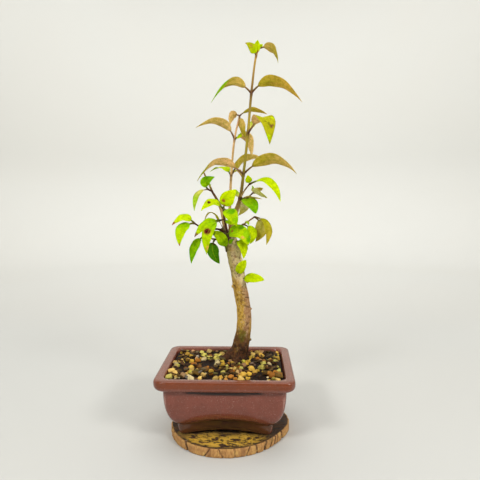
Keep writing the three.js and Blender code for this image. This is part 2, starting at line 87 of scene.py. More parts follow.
# The pot's section from the inner floor, over the rim, down the outside and under the feet:
# inset from the rim, height above the pot's base, lift in the middle of the front
POT_SECTION = [
    (28, 18, 0), (25.5, 20, 0), (19.5, 28, 0), (14.6, 40, 0), (12.6, 53, 0), (10.6, 66.4, 0),
    (9.6, 68.4, 0), (8, 69, 0), (2.6, 69, 0), (0.7, 68.2, 0), (0, 66.4, 0), (0, 61.2, 0),
    (1.5, 58.3, 0), (4.6, 56.4, 0), (9.3, 55.5, 0), (8.6, 53.2, 0), (8.9, 45, 0), (9.8, 36, 0),
    (11.6, 28, 1.2), (14.2, 21.5, 3.2), (17.2, 16.8, 5), (20.4, 13.8, 6.2), (22.6, 13.6, 6),
    (22.6, 0, 5.6), (29, 0, 5.6), (30.5, 12, 0),
]
ARCH_HALF_SPAN = (44 * MM, 30 * MM)
SIDE_ARCH_SHARE = 0.6
CORNER_STEPS = 6
STRAIGHT_STEPS = (16, 12)

# Radius of the wood slice every 30 degrees, from +X round by +Y
SLICE_RADII = (67, 66, 64.5, 63.5, 64, 67.4, 71, 70.8, 68.4, 64.6, 62, 61.8)
SLICE_CENTRE = Vector((6 * MM, 0, 0))
SLICE_STEPS = 480
# Up the slice's edge: share of its thickness, inset. Then the insets of its upper face.
SLICE_EDGE = (
    (0, 1.2), (0.05, 0.5), (0.13, 0.1), (0.25, 0), (0.37, 0), (0.5, 0), (0.62, 0), (0.74, 0), (0.86, 0),
    (0.95, 0.3), (1, 0.8),
)
SLICE_FACE = (1.6, 2.6, 4, 6, 9, 13, 18, 24, 31, 39, 48)
BARK_WIDTH = 2.4 * MM
# Millimetres round the slice's edge for an angle of one radian
ARC = 66
# Deep cracks in the bark: angle, width and depth in millimetres, slant from bottom to top
SLICE_CRACKS = (
    (3.4, 1.6, 2.2, 0.03), (3.62, 0.9, 1.8, -0.05), (4.0, 1.5, 2.6, -0.06), (4.3, 0.8, 1.4, 0.1),
    (4.62, 0.6, 1.2, -0.08), (5.0, 0.8, 1.4, 0.07), (5.36, 1.3, 2.4, 0.05), (5.5, 0.9, 1.8, 0.09),
    (5.9, 1.2, 2.0, -0.04), (0.5, 1.4, 2.2, 0.04), (1.4, 1.1, 2.0, -0.05), (2.3, 1.5, 2.4, 0.03),
)

# The trunk's line and its surface roots: x, y, z, radius
TRUNK_LINE = [
    (10, 18, 53, 9.5), (11, 18.5, 67, 12.2), (11.6, 19.5, 76, 12.6), (13, 20.5, 83, 10.6),
    (15.7, 21, 93.7, 9.9), (18.6, 22, 108.7, 8.8), (19.6, 22.5, 123.6, 8.7), (18.7, 23, 138.4, 8.4),
    (16.3, 23, 153, 8.4), (13.5, 23, 167.6, 8.1), (11.7, 22.5, 182.2, 8.1), (8.6, 22, 196.6, 8.3),
    (6, 22, 211.2, 8.6), (1.6, 22, 221.6, 7.6), (-3.2, 21.5, 228.4, 5.4), (-6.6, 21, 233.4, 4.2),
]
ROOTS = [
    [(10, 19, 87, 6), (2, 17, 79.5, 6.2), (-7, 14, 74, 4.6), (-15, 11, 65, 2.6)],
    [(15, 21, 83, 5), (23, 25, 77, 4.4), (31, 30, 69, 2.4)],
    [(12, 17, 81, 5), (10, 8, 76.2, 4.4), (7, -2, 68, 2.4)],
    [(12, 23, 81, 5), (7, 31, 76, 4), (2, 38, 68, 2.2)],
]
# Bud nubs and old leaf scars on the trunk: x, y, z, size
NUBS = [
    (-0.6, 17, 215, 1.6), (23.6, 20.5, 169, 1.5), (27.4, 20.5, 137, 1.6), (5.8, 20, 164, 1.6),
    (10.6, 14.9, 151, 1.4), (27, 18, 100, 1.5),
]

# The soil down the pot's wall: inset, height. Then the insets of its surface.
SOIL_WALL = ((27, 20), (19.5, 28), (14.6, 40), (12.6, 53))
SOIL_FACE = (12.2, 13.5, 16, 19, 22, 26, 30, 34, 38, 42, 46, 50, 53, 55)
# Colours of the grit, each with its parts in the mix
GRIT_MIX = {
    "ochre": 16, "gold": 14, "sand": 12, "amber": 13, "cream": 9, "rose": 9, "brown": 9, "straw": 9,
    "pear": 2, "clay": 6, "white": 1, "slate": 2,
}
GRIT_COLOURS = [name for name, parts in GRIT_MIX.items() for _ in range(parts)]
# The grit's field ends this far inside the rim and has corners of this radius. Grains and chips stay this
# far from the middle of the trunk.
GRIT_INSET = 12 * MM
GRIT_CORNER = 9 * MM
GRAIN_CLEAR = 12 * MM
CHIP_CLEAR = 14 * MM

# Colours of a leaf: upper face at the stalk and at the tip, underside at the stalk and at the tip
TONES = {
    "bright": "lime bright fresh lime",
    "lime": "fresh lime fresh lime",
    "fresh": "fresh lime fresh fresh",
    "green": "fresh green green fresh",
    "dry": "citron olive straw olive",
    "golden_green": "lime citron olive citron",
    "deep": "deep deep green green",
    "olive": "green fresh sand olive",
    "brown_olive": "green fresh olive sand",
    "golden": "green fresh olive gold",
    "tan": "olive fresh tan sand",
    "blush": "olive fresh blush tan",
    "rosy": "citron citron blush blush",
    "pale": "straw fresh pale straw",
}

# Leafy shoots. Stems are points x, y, z, radius and their colours from foot to tip. Leaves are the stem
# and its point, the place over which the leaf arches, its tip, its width, its lean at the stalk and at
# the tip and its tones, then any marks: share along, share across, radius, colour.
SHOOTS = {
    "leader_shoot": ((
        ([(4.5, 24, 219, 3.3), (8, 24, 239, 3.2), (10, 21, 252, 3), (15, 18, 268, 2),
          (19, 18, 296, 1.6), (24, 20, 342, 1.5), (28, 22, 388, 1.4), (33.4, 24, 430, 1.1),
          (36.6, 24, 438.6, 0.9)],
         "cork tan tan twig moss olive twig scar rust"),
        ([(15, 18, 268, 1), (21, 13, 278, 0.9), (26, 10, 284, 0.8)], "tan twig maroon"),
        ([(14, 19, 264, 1), (23, 9, 268, 0.9), (30, 2, 274, 0.8)], "tan twig maroon"),
    ), (
        (0, 8, (51, 20, 436.5), (58, 14, 419), 14, -0.7, -0.5, "olive"),
        (0, 7, (29, 20, 437.6), (21, 17, 442.4), 11, 0.85, 0.85, "golden_green",
         (0.98, 0.2, 2.4, "olive"), (0.6, -0.2, 2.0, "olive")),
        (0, 7, (34.4, 22, 439.5), (35.2, 21, 447), 8, 0.9, 0.9, "bright", (0.1, 0, 2.4, "rust")),
        (0, 8, (39, 23.5, 441), (41, 23, 442.8), 5, 0.8, 0.8, "bright"),
        (0, 6, (6, 18, 398), (-17, 8, 375), 15, -0.75, -0.1, "olive",
         (0.6, 1, 4.4, "fresh"), (0.72, 0.8, 5.2, "fresh"), (0.9, 0.3, 6, "fresh")),
        (0, 6, (54, 18, 400), (85, 10, 375), 15, -0.8, -0.6, "golden"),
        (0, 5, (42, -8, 355), (48, -18, 325), 22, -0.4, 0.8, "rosy",
         (0.72, 0.45, 2.2, "clay"), (0.6, -0.3, 1.5, "moss"), (0.66, 0.1, 1.6, "moss"),
         (0.52, 0.75, 2.2, "bright"), (0.9, -0.4, 2.6, "lime")),
        (0, 5, (31, 36, 357), (37, 50, 367), 11, 0, 0, "pale"),
        (0, 4, (-9, 8, 307), (-32, -4, 287), 17, -0.75, -0.1, "blush",
         (0.72, 1, 3.4, "citron"), (0.82, 0.8, 4.4, "citron"), (0.96, 0.3, 5, "citron")),
        (0, 4, (50, 14, 312), (79, 4, 295), 17, -0.8, -0.6, "brown_olive"),
        (0, 3, (29, 6, 268), (40, -4, 267), 12, -0.3, -0.3, "tan"),
        (0, 3, (27, 0, 263), (33, -10, 251), 15, 0.7, 0.9, "green"),
        (0, 3, (20, 30, 258), (12, 38, 247), 13, 0, 0, "pale"),
        (0, 3, (10, 30, 273), (9, 38, 279), 9, 0, 0, "pale"),
        (1, 2, (47, 0, 286), (60, -12, 264), 14, 0.3, 0.7, "bright"),
        (1, 2, (25, 6, 289), (24, 4, 294), 8, 0.6, 0.6, "bright"),
        (2, 2, (30, 0, 278), (29, -3, 282), 4, 0.5, 0.5, "pale"),
        (2, 2, (36, -4, 277), (41, -8, 279), 9, -0.4, -0.4, "tan"),
        (2, 2, (37, -8, 272), (46, -15, 268), 19, -0.7, -0.6, "pale", (0.5, 0.9, 3, "olive")),
    )),
    "side_shoot": ((
        ([(3, 29, 220, 2), (2, 31, 243, 1.8), (3, 31, 276, 1.5), (4, 32, 295, 1.4), (8, 34, 338, 1.2),
          (14, 34, 365, 0.9)], "cork tan blush tan blush rose"),
    ), (
        (0, 3, (-7, 42, 305), (-23, 50, 301), 13, 0.2, 0.2, "bright"),
        (0, 3, (19, 46, 315), (41, 54, 317), 15, -0.5, -0.5, "brown_olive"),
        (0, 3, (11, 44, 302), (16, 50, 294), 9, 0, 0, "tan"),
        (0, 4, (-9, 28, 357), (-36, 18, 349), 12, -0.6, -0.6, "tan"),
        (0, 4, (23, 36, 340), (28, 34, 317), 13, -0.8, -0.8, "blush"),
        (0, 4, (14, 31, 341), (15, 29, 345), 6, 0.6, 0.6, "bright"),
        (0, 5, (6, 36, 366), (3, 30, 354), 11, -0.8, -0.8, "blush"),
        (0, 5, (28, 42, 373), (47, 46, 369), 10, -0.4, -0.4, "golden"),
        (0, 5, (16, 32, 354), (21, 30, 339), 12, -0.7, -0.7, "olive"),
    )),
    "left_upper_shoot": ((
        ([(-1, 25, 224, 2.8), (-4, 24, 239, 2.7), (-6, 21, 252, 2.4), (-12, 16, 267, 1.5),
          (-17, 12, 276, 1.3), (-20, 10, 284, 1.1), (-26, 9, 297, 0.9)],
         "cork cork tan twig maroon olive twig"),
        ([(-17, 12, 276, 1), (-21, 6, 278, 0.8)], "maroon maroon"),
    ), (
        (1, 1, (-32, 0, 272), (-35, -8, 254), 9, 0.2, 0.4, "pale"),
        (1, 1, (-23, 4, 286), (-13, 3, 292), 13, 0.7, 0.8, "green"),
    )),
    "left_lower_shoot": ((
        ([(-1, 20, 227, 1.4), (-9, 14, 232, 1.2), (-17, 10, 233, 1.1), (-30, 2, 236, 1),
          (-36, -2, 240, 0.9)], "umber maroon maroon maroon maroon"),
    ), (
        (0, 4, (-47, -6, 246), (-60, -10, 238), 13, 0.6, 0.6, "bright", (0.97, 0, 3, "rust")),
        (0, 4, (-48, -12, 234), (-50, -20, 216), 14, 0.6, 0.8, "lime", (0.99, 0, 2, "rust")),
    )),
    "centre_shoot": ((
        ([(1, 19, 224, 1.2), (-1, 13, 234, 1), (-3, 10, 244, 0.9), (-4, 8, 256, 0.8)],
         "umber maroon maroon twig"),
        ([(-3, 10, 244, 0.8), (-7, 6, 243, 0.7)], "maroon maroon"),
    ), (
        (0, 3, (-15, -4, 263), (-27, -12, 254), 13, 0.7, 0.7, "bright", (0.56, -0.25, 2.2, "wine")),
        (0, 3, (1, 4, 267), (11, 6, 278), 17, 0.85, 0.85, "bright",
         (0.26, 0.35, 1.9, "rust"), (0.02, 0, 2, "rust")),
        (0, 3, (5, -4, 250), (12, -6, 237), 16, 0.8, 0.8, "lime", (0.3, 0.35, 4.6, "green"),
         (0.75, 0.2, 4, "fresh")),
        (0, 2, (3.5, 4, 240.5), (9, 2.5, 238.5), 8, 0.6, 0.6, "lime"),
        (1, 1, (-21, -2, 239), (-35, -10, 225), 15, 0.6, 0.6, "fresh", (0.98, 0, 4, "brown")),
        (1, 1, (-19, -10, 232), (-21, -14, 206), 14, 0.8, 0.8, "lime",
         (0.44, -0.15, 4.4, "rust"), (0.44, -0.15, 3.4, "wine"), (0.86, 0.6, 2, "gold")),
    )),
    "low_left_shoot": ((
        ([(1, 18, 216, 1.3), (-8, 11, 220, 1.1), (-14, 8, 221, 1), (-26, 2, 225, 0.8)],
         "umber maroon twig maroon"),
    ), (
        (0, 2, (-16, 4, 208), (-8, 0, 194), 14, 0.8, 0.8, "deep", (0.02, 0.3, 2.6, "umber")),
        (0, 3, (-35, -4, 214), (-39, -8, 195), 12, 0.6, 0.6, "green", (0.5, -0.1, 3, "fresh")),
    )),
    "right_shoot": ((
        ([(6, 18, 229, 1.2), (12, 16, 235, 1.1), (19, 12, 238, 1), (32, 4, 247, 0.8)],
         "umber umber tan maroon"),
    ), (
        (0, 2, (30, 3, 229.5), (26.4, 0, 216.4), 9, 0.9, 0.9, "bright"),
        (0, 2, (23, 8, 241), (25, 6, 237), 5, 0.5, 0.5, "pale"),
        (0, 3, (40, 8, 234), (33, 10, 218), 15, -0.8, -0.8, "dry"),
        (0, 3, (46, -2, 237), (45, -6, 216), 11, 0.2, 0.2, "dry"),
    )),
}

# Single leaves on the trunk: root in the bark, over, tip, width, leans, tones, marks
TRUNK_LEAVES = {
    "front_leaf": ((-3.5, 18, 224), (14, 0, 230), (25, -8, 216), 18, 0.85, 0.9, "fresh",
                   (0.12, 0.1, 1.7, "rust"), (0.72, -0.35, 2.6, "gold"), (0.68, 0.5, 4.6, "fresh"),
                   (0.86, 0.75, 3.4, "green"), (0.4, 0.7, 3.4, "green")),
    "right_leaf_high": ((8.5, 20, 218), (17.6, 12, 214.2), (19.2, 9, 198.4), 12, 0.6, 0.6, "bright"),
    "right_leaf_middle": ((11, 17, 178), (16, 9, 188), (22, 7.5, 197), 11, 0.9, 0.9, "bright"),
    "right_leaf_low": ((16, 19, 173), (29, 11, 175.5), (43, 7, 174), 12, 0.85, 0.85, "bright"),
    "left_leaf_high": ((-4, 22, 229), (-17, 16, 251), (-26, 8, 241), 5, 0.2, 0.2, "dry"),
    "left_leaf_low": ((-1, 18, 206), (-7, 10, 222), (-20, 9, 230), 13, 0.6, 0.6, "fresh",
                      (0.9, 0.5, 5, "shade")),
    "bud_leaf": ((4, 16, 214), (4.5, 11, 218), (8, 8.5, 221), 5, 0.7, 0.7, "green"),
}

# Share of a leaf's line that is its stalk
PETIOLE_SHARE = 0.15
# How sharp a blade ends and how far its halves fold up, in degrees. Leaves with other values than these
# are named by the place of the tip.
LEAF_POINT = 0.85
POINTS = {
    (25, -8, 216): 0.65, (19.2, 9, 198.4): 0.75, (22, 7.5, 197): 0.6, (43, 7, 174): 0.6,
    (33, -10, 251): 0.65, (26.4, 0, 216.4): 0.7, (-8, 0, 194): 0.7, (-17, 8, 375): 1.0,
    (85, 10, 375): 1.05, (79, 4, 295): 1.0, (-32, -4, 287): 1.0, (58, 14, 419): 1.0, (-36, 18, 349): 1.0,
}
LEAF_FOLD = 14
FOLDS = {(-17, 8, 375): 28, (-32, -4, 287): 28}
BLADE_STEPS = (28, 12)

# The room, in metres and degrees: the bend of the floor and the height to which it rises, the place, the
# aim, the width and height and the spread of each lamp, and the camera
FLOOR_BEND = 0.5
WALL_HEIGHT = 1.9
LAMPS = {
    "key": ((-0.85, -1.1, 1.25), (0, 0, 0.25), (0.44, 0.26), 180),
    "fill": ((1.0, -0.95, 0.95), (0, 0, 0.25), (0.44, 0.26), 180),
    "top": ((0.0, 0.15, 1.6), (0, 0, 0.15), (1.2, 1.2), 180),
    "back": ((0.0, 0.7, 1.85), (0, 1.85, 0.45), (3.0, 1.2), 110),
}
CAMERA_PLACE = (0.03165, -0.50023, 0.26314)
CAMERA_TURN = (85.179, 0.1, 1.854)
SENSOR_WIDTH = 36


# Settings that a user may change


class PotSettings(bpy.types.PropertyGroup):
    length: FloatProperty(
        name="Length", description="Pot from left to right over the rim", default=0.15, unit="LENGTH")
    width: FloatProperty(
        name="Width", description="Pot from front to back over the rim", default=0.12, unit="LENGTH")
    base: FloatProperty(
        name="Base", description="Height at which the pot's feet stand", default=0.01, unit="LENGTH")
    corner: FloatProperty(
        name="Corner", description="Corner radius of the rim", default=0.011, unit="LENGTH")
    drain_radius: FloatProperty(
        name="Drain hole", description="Radius of a drain hole", default=0.006, unit="LENGTH")
    drain_offset: FloatProperty(
        name="Drain place", description="Drain hole from the middle", default=0.028, unit="LENGTH")
    body_colour: FloatVectorProperty(
        name="Glaze", description="Glaze of the body", subtype="COLOR", default=linear(122, 64, 50))
    rim_glaze_and_top_light: FloatVectorProperty(
        name="Rim", description="Glaze on the flat of the rim", subtype="COLOR", default=linear(126, 74, 56))
    edge_colour: FloatVectorProperty(
        name="Edge", description="Thin glaze on the rim's edge", subtype="COLOR",
        default=linear(116, 52, 18))
    foot_colour: FloatVectorProperty(
        name="Foot", description="Thin glaze on the feet", subtype="COLOR", default=linear(84, 48, 24))


class SliceSettings(bpy.types.PropertyGroup):
    thickness: FloatProperty(
        name="Thickness", description="Wood slice from bottom to top", default=0.0097, unit="LENGTH")
    cracks: IntProperty(name="Cracks", description="Small cracks in the bark", default=26, min=0)
    seed: IntProperty(name="Seed", description="Which arrangement of cracks", default=4)
    bark_colour: FloatVectorProperty(
        name="Bark", description="Bark on the slice's edge", subtype="COLOR", default=linear(190, 140, 80))
    wood_colour: FloatVectorProperty(
        name="Wood", description="Stained sawn face", subtype="COLOR", default=linear(66, 44, 22))
    torn_colour: FloatVectorProperty(
        name="Torn grain", description="Fresh torn grain", subtype="COLOR", default=linear(218, 170, 48))


class SoilSettings(bpy.types.PropertyGroup):
    level: FloatProperty(
        name="Level", description="Height of the soil", default=0.0756, unit="LENGTH")
    mound: FloatProperty(
        name="Mound", description="Rise of the soil at the trunk", default=0.002, unit="LENGTH")
    grains: IntProperty(name="Grains", description="Grains of grit", default=126, min=0)
    crumbs: IntProperty(name="Crumbs", description="Small crumbs between the grains", default=70, min=0)
    chips: IntProperty(name="Chips", description="Dark chips of bark", default=170, min=0)
    seed: IntProperty(name="Seed", description="Which arrangement of grains", default=11)
    soil_colour: FloatVectorProperty(
        name="Soil", description="Damp soil between the grains", subtype="COLOR", default=linear(24, 17, 13))


class TrunkSettings(bpy.types.PropertyGroup):
    detail: FloatProperty(
        name="Detail", description="Size of the bark's faces", default=0.0007, unit="LENGTH")
    relief: FloatProperty(
        name="Relief", description="Height of the bark's ridges", default=0.00032, unit="LENGTH")


class LeafSettings(bpy.types.PropertyGroup):
    thickness: FloatProperty(
        name="Thickness", description="Thickness of a blade", default=0.00036, unit="LENGTH")
    wave: FloatProperty(
        name="Wave", description="Waviness of the edges", default=0.07, subtype="FACTOR")
    seed: IntProperty(name="Seed", description="Which small differences between leaves", default=7)


class StageSettings(bpy.types.PropertyGroup):
    radius: FloatProperty(
        name="Radius", description="Floor out to its upturned edge", default=1.9, unit="LENGTH")
    floor_colour: FloatVectorProperty(
        name="Floor", description="Paper floor", subtype="COLOR", default=linear(201, 200, 194))
    sky_strength: FloatProperty(name="Sky", description="Strength of the light all round", default=0.4)
    key_power: FloatProperty(
        name="Key light", description="Light from the front left", default=13.0, unit="POWER")
    fill_power: FloatProperty(
        name="Fill light", description="Light from the front right", default=11.5, unit="POWER")
    top_power: FloatProperty(
        name="Top light", description="Light from above", default=10.5, unit="POWER")
    back_power: FloatProperty(
        name="Back light", description="Light on the paper wall", default=16.5, unit="POWER")
    lens: FloatProperty(name="Lens", description="Focal length", default=33.3, unit="CAMERA")


# Shapes


def ease(low, high, value):
    """0 below low, 1 above high and a smooth step between."""
    share = min(max((value - low) / (high - low), 0), 1)
    return share * share * (3 - 2 * share)


def tinted(colour, *coats):
    """A colour under coats of other colours, each a name in the palette and its strength."""
    for name, strength in coats:
        colour = colour.lerp(PALETTE[name], strength)
    return colour


def loft(bm, rings, tones=None):
    """Pulls an outline from ring to ring, all of one length, and closes both ends."""
    place = bm.verts.layers.int.get("place") or bm.verts.layers.int.new("place")
    tone = bm.verts.layers.float_color.get("tone")
    verts = bmesh.ops.create_circle(bm, segments=len(rings[0]), radius=1)["verts"]
    for i, vert in enumerate(verts):
        vert[place] = i
    edges = [edge for edge in bm.edges if edge.is_wire]
    foot = edges
    everything = []
    for k, ring in enumerate(rings):
        if k:
            made = bmesh.ops.extrude_edge_only(bm, edges=edges)["geom"]
            verts = [item for item in made if isinstance(item, bmesh.types.BMVert)]
            edges = [item for item in made if isinstance(item, bmesh.types.BMEdge) and item.is_boundary]
            everything += [item for item in made if isinstance(item, bmesh.types.BMFace)]
        for vert in verts:
            vert.co = ring[vert[place]]
            if tones:
                vert[tone] = tones[k]
    for loop in (foot, edges):
        everything += bmesh.ops.contextual_create(bm, geom=loop)["faces"]
    return everything


def flow(points, steps):
    """A smooth line through x, y, z, radius points in millimetres: places and radii in metres."""
    places = [Vector(point[:3]) * MM for point in points]
    ends = [2 * places[0] - places[1], *places, 2 * places[-1] - places[-2]]
    line = []
    for k in range(len(places) - 1):
        before, start, stop, after = ends[k:k + 4]
        gaps = [math.sqrt((b - a).length) for a, b in ((before, start), (start, stop), (stop, after))]
        leave = (start - before) / gaps[0] - (stop - before) / (gaps[0] + gaps[1]) + (stop - start) / gaps[1]
        reach = (stop - start) / gaps[1] - (after - start) / (gaps[1] + gaps[2]) + (after - stop) / gaps[2]
        curve = interpolate_bezier(
            start, start + leave * gaps[1] / 3, stop - reach * gaps[1] / 3, stop, steps + 1)
        for i, place in enumerate(curve[:-1]):
            share = i / steps
            radius = points[k][3] * (1 - share) + points[k + 1][3] * share
            line.append((place, radius * MM, k + share))
    line.append((places[-1], points[-1][3] * MM, len(places) - 1))
    return line


def tube(bm, line, sides, tones=None, rough=0.0):
    """A closed round bar along (place, radius, ...) entries, with its surface uneven by a share of rough."""
    rings = []
    turn = None
    for k, (place, radius, *_) in enumerate(line):
        along = (line[min(k + 1, len(line) - 1)][0] - line[max(k - 1, 0)][0]).normalized()
        if turn is None:
            turn = Vector((0, 0, 1)).rotation_difference(along)
        else:
            turn = (turn @ Vector((0, 0, 1))).rotation_difference(along) @ turn
        ring = []
        for i in range(sides):
            angle = math.tau * i / sides
            out = turn @ Vector((math.cos(angle), math.sin(angle), 0))
            uneven = 1 + rough * noise.noise((place + out * radius) * 400)
            ring.append(place + out * radius * uneven)
        rings.append(ring)
    return loft(bm, rings, tones)


def pot_outline(settings, inset, height, lift=0.0):
    """Points round the pot at an inset from its rim, raised in the middle of each side by the arch."""
    half = Vector((settings.length / 2 - inset, settings.width / 2 - inset))
    radius = min(max(4 * MM, settings.corner - 0.2 * inset), half.y)
    points = []
    for quarter, (sign_x, sign_y) in enumerate(((1, 1), (-1, 1), (-1, -1), (1, -1))):
        for i in range(CORNER_STEPS + 1):
            angle = math.pi / 2 * (quarter + i / CORNER_STEPS)
            points.append(Vector((
                sign_x * (half.x - radius) + radius * math.cos(angle),
                sign_y * (half.y - radius) + radius * math.sin(angle))))
        along_x = quarter % 2 == 0
        steps = STRAIGHT_STEPS[0] if along_x else STRAIGHT_STEPS[1]
        start = points[-1]
        step = Vector((-sign_x * 2 * (half.x - radius), 0)) if along_x else Vector(
            (0, -sign_y * 2 * (half.y - radius)))
        points += [start + step * (i / steps) for i in range(1, steps)]
    ring = []
    for point in points:
        on_long = abs(point.y) > half.y - 0.01 * MM
        on_short = abs(point.x) > half.x - 0.01 * MM
        share = point.x / ARCH_HALF_SPAN[0] if on_long else point.y / ARCH_HALF_SPAN[1]
        arch = max(0, 1 - share * share) * (1 if on_long else SIDE_ARCH_SHARE)
        if not on_long and not on_short:
            arch = 0
        ring.append(Vector((point.x, point.y, settings.base + height + lift * arch)))
    return ring


def link(name, data):
    """Puts a new object with this data into the scene."""
    made = bpy.data.objects.new(name, data)
    bpy.context.scene.collection.objects.link(made)
    return made


def new_object(name, bm):
    """Puts a mesh into the scene and frees what it was made with."""
    mesh = bpy.data.meshes.new(name)
    bm.to_mesh(mesh)
    bm.free()
    return link(name, mesh)


def add_piece(name, bm, materials, nodes, smooth=True):
    """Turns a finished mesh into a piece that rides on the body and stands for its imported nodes."""
    bmesh.ops.recalc_face_normals(bm, faces=bm.faces)
    piece = new_object(name, bm)
    for material in materials:
        piece.data.materials.append(material)
    if smooth:
        piece.data.shade_smooth()
    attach(piece, "root")
    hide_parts(*nodes)
    return piece


def bake_modifiers(piece):
    """Makes the piece's modifiers part of its mesh."""
    depsgraph = bpy.context.evaluated_depsgraph_get()
    finished = bpy.data.meshes.new_from_object(piece.evaluated_get(depsgraph))
    rough = piece.data
    piece.modifiers.clear()
    piece.data = finished
    bpy.data.meshes.remove(rough)
    piece.data.name = piece.name


def paint(piece, tone):
    """Gives every point of a piece the colour that tone works out from its place and direction."""
    mesh = piece.data
    layer = mesh.attributes.get("tone") or mesh.attributes.new("tone", "FLOAT_COLOR", "POINT")
    for vert, item in zip(mesh.vertices, layer.data):
        item.color = tone(vert.co, vert.normal)


# Materials


class Finish:
    """A material and its nodes, added one at a time."""

    def __init__(self, name):
        self.material = bpy.data.materials.new(name)
        self.material.use_nodes = True
        self.tree = self.material.node_tree
        self.shader = self.tree.nodes["Principled BSDF"]

    def put(self, socket, value):
        if isinstance(value, bpy.types.NodeSocket):
            self.tree.links.new(value, socket)
        else:
            socket.default_value = value

    def node(self, kind, inputs, output=0, **settings):
        made = self.tree.nodes.new(kind)
        for key, value in settings.items():
            setattr(made, key, value)
        for key, value in inputs.items():
            self.put(made.inputs[key], value)
        return made.outputs[output]

    def place(self, stretch=(1, 1, 1)):
        spot = self.node("ShaderNodeTexCoord", {}, "Object")
        return self.node("ShaderNodeMapping", {"Vector": spot, "Scale": stretch})

    def tone(self):
        return self.node("ShaderNodeAttribute", {}, "Color", attribute_name="tone")

    def noise(self, scale, detail=3.0, stretch=(1, 1, 1), roughness=0.5):
        return self.node("ShaderNodeTexNoise", {
            "Vector": self.place(stretch), "Scale": scale, "Detail": detail, "Roughness": roughness}, "Fac")

    def cells(self, scale, stretch=(1, 1, 1)):
        return self.node("ShaderNodeTexVoronoi", {"Vector": self.place(stretch), "Scale": scale}, "Distance")

    def math(self, operation, first, second=0.0):
        return self.node("ShaderNodeMath", {0: first, 1: second}, operation=operation)

    def step(self, value, low, high, to_low=0.0, to_high=1.0):
        return self.node("ShaderNodeMapRange", {
            "Value": value, "From Min": low, "From Max": high, "To Min": to_low, "To Max": to_high},
            interpolation_type="SMOOTHSTEP")

    def mix(self, factor, first, second, blend="MIX"):
        inputs = {0: factor, 6: first, 7: second}
        return self.node("ShaderNodeMix", inputs, 2, data_type="RGBA", blend_type=blend)

    def over(self, colour, name, value, *limits):
        """A colour of the palette over another one, as strong as a step of the value says."""
        return self.mix(self.step(value, *limits), colour, PALETTE[name])

    def rough(self, value, low, high):
        """A roughness between low and high that follows the value."""
        return self.step(value, 0.3, 0.7, low, high)

    def bump(self, height, distance, normal=None):
        inputs = {"Height": height, "Distance": distance}
        if normal:
            inputs["Normal"] = normal
        return self.node("ShaderNodeBump", inputs)

    def set(self, **values):
        for key, value in values.items():
            self.put(self.shader.inputs[key.replace("_", " ")], value)
        return self.material


def glaze_finish():
    finish = Finish("pot glaze")
    cloud = finish.noise(90, 4)
    colour = finish.over(finish.tone(), "umber", cloud, 0.4, 0.65, 0, 0.14)
    specks = finish.math(
        "MULTIPLY", finish.step(finish.noise(1300, 1), 0.67, 0.73, 0, 0.4),
        finish.step(finish.tone(), 0.02, 0.1))
    colour = finish.mix(specks, colour, PALETTE["speck"])
    colour = finish.over(colour, "umber", finish.noise(800, 0), 0.66, 0.74, 0, 0.3)
    dull = finish.step(finish.tone(), 0.008, 0.014, 0.7, 0.06)
    return finish.set(
        Base_Color=colour, Roughness=finish.math("MAXIMUM", finish.rough(cloud, 0.06, 0.11), dull),
        Normal=finish.bump(finish.noise(110, 1), 0.00008), Specular_IOR_Level=0.5)


def plastic_finish():
    finish = Finish("drain mesh plastic")
    grain = finish.noise(700, 3)
    return finish.set(
        Base_Color=finish.mix(grain, PALETTE["soot"], PALETTE["coal"]),
        Roughness=finish.rough(grain, 0.45, 0.65), Normal=finish.bump(grain, 0.0001))


def soil_finish(settings):
    finish = Finish("damp soil")
    crumb = finish.noise(420, 5, roughness=0.7)
    return finish.set(
        Base_Color=finish.over(rgba(settings.soil_colour), "umber", crumb, 0.45, 0.72),
        Roughness=finish.rough(crumb, 0.5, 0.85), Normal=finish.bump(crumb, 0.0012),
        Specular_IOR_Level=0.1)


def grit_finish():
    finish = Finish("grit grains")
    cloud = finish.noise(500, 4, roughness=0.65)
    colour = finish.over(finish.tone(), "brown", cloud, 0.42, 0.64, 0, 0.3)
    colour = finish.over(colour, "umber", finish.cells(1500), 0.0, 0.28, 0.3, 0)
    return finish.set(
        Base_Color=colour, Roughness=finish.rough(cloud, 0.55, 0.85),
        Normal=finish.bump(cloud, 0.0006), Specular_IOR_Level=0.1)


def bark_finish():
    finish = Finish("trunk bark")
    fine = finish.noise(900, 5, roughness=0.7)
    mottle = finish.noise(330, 4, stretch=(1, 1, 0.7), roughness=0.65)
    colour = finish.over(finish.tone(), "clay", mottle, 0.4, 0.5, 0.4, 0)
    flecks = finish.math(
        "MULTIPLY", finish.step(mottle, 0.52, 0.66, 0, 0.5), finish.step(finish.tone(), 0.03, 0.2, 0.1, 1))
    colour = finish.mix(flecks, colour, PALETTE["stone"])
    colour = finish.over(colour, "clay", fine, 0.55, 0.66, 0, 0.6)
    pores = finish.step(finish.cells(330, (1, 1, 1.5)), 0.04, 0.2, 1, 0)
    colour = finish.mix(finish.math("MULTIPLY", pores, 0.5), colour, PALETTE["umber"])
    uneven = finish.bump(fine, 0.0005, finish.bump(mottle, 0.0009))
    uneven = finish.bump(finish.math("SUBTRACT", 1.0, pores), 0.0004, uneven)
    return finish.set(
        Base_Color=colour, Roughness=finish.rough(fine, 0.6, 0.9), Normal=uneven,
        Specular_IOR_Level=0.1)


def edge_bark_finish():
    finish = Finish("slice bark")
    fibre = finish.noise(700, 5, stretch=(1, 1, 0.3), roughness=0.65)
    colour = finish.over(finish.tone(), "brown", fibre, 0.4, 0.68, 0, 0.6)
    colour = finish.over(colour, "sand", finish.noise(150, 3), 0.5, 0.7, 0, 0.35)
    return finish.set(
        Base_Color=colour, Roughness=finish.rough(fibre, 0.7, 0.95), Normal=finish.bump(fibre, 0.0009))


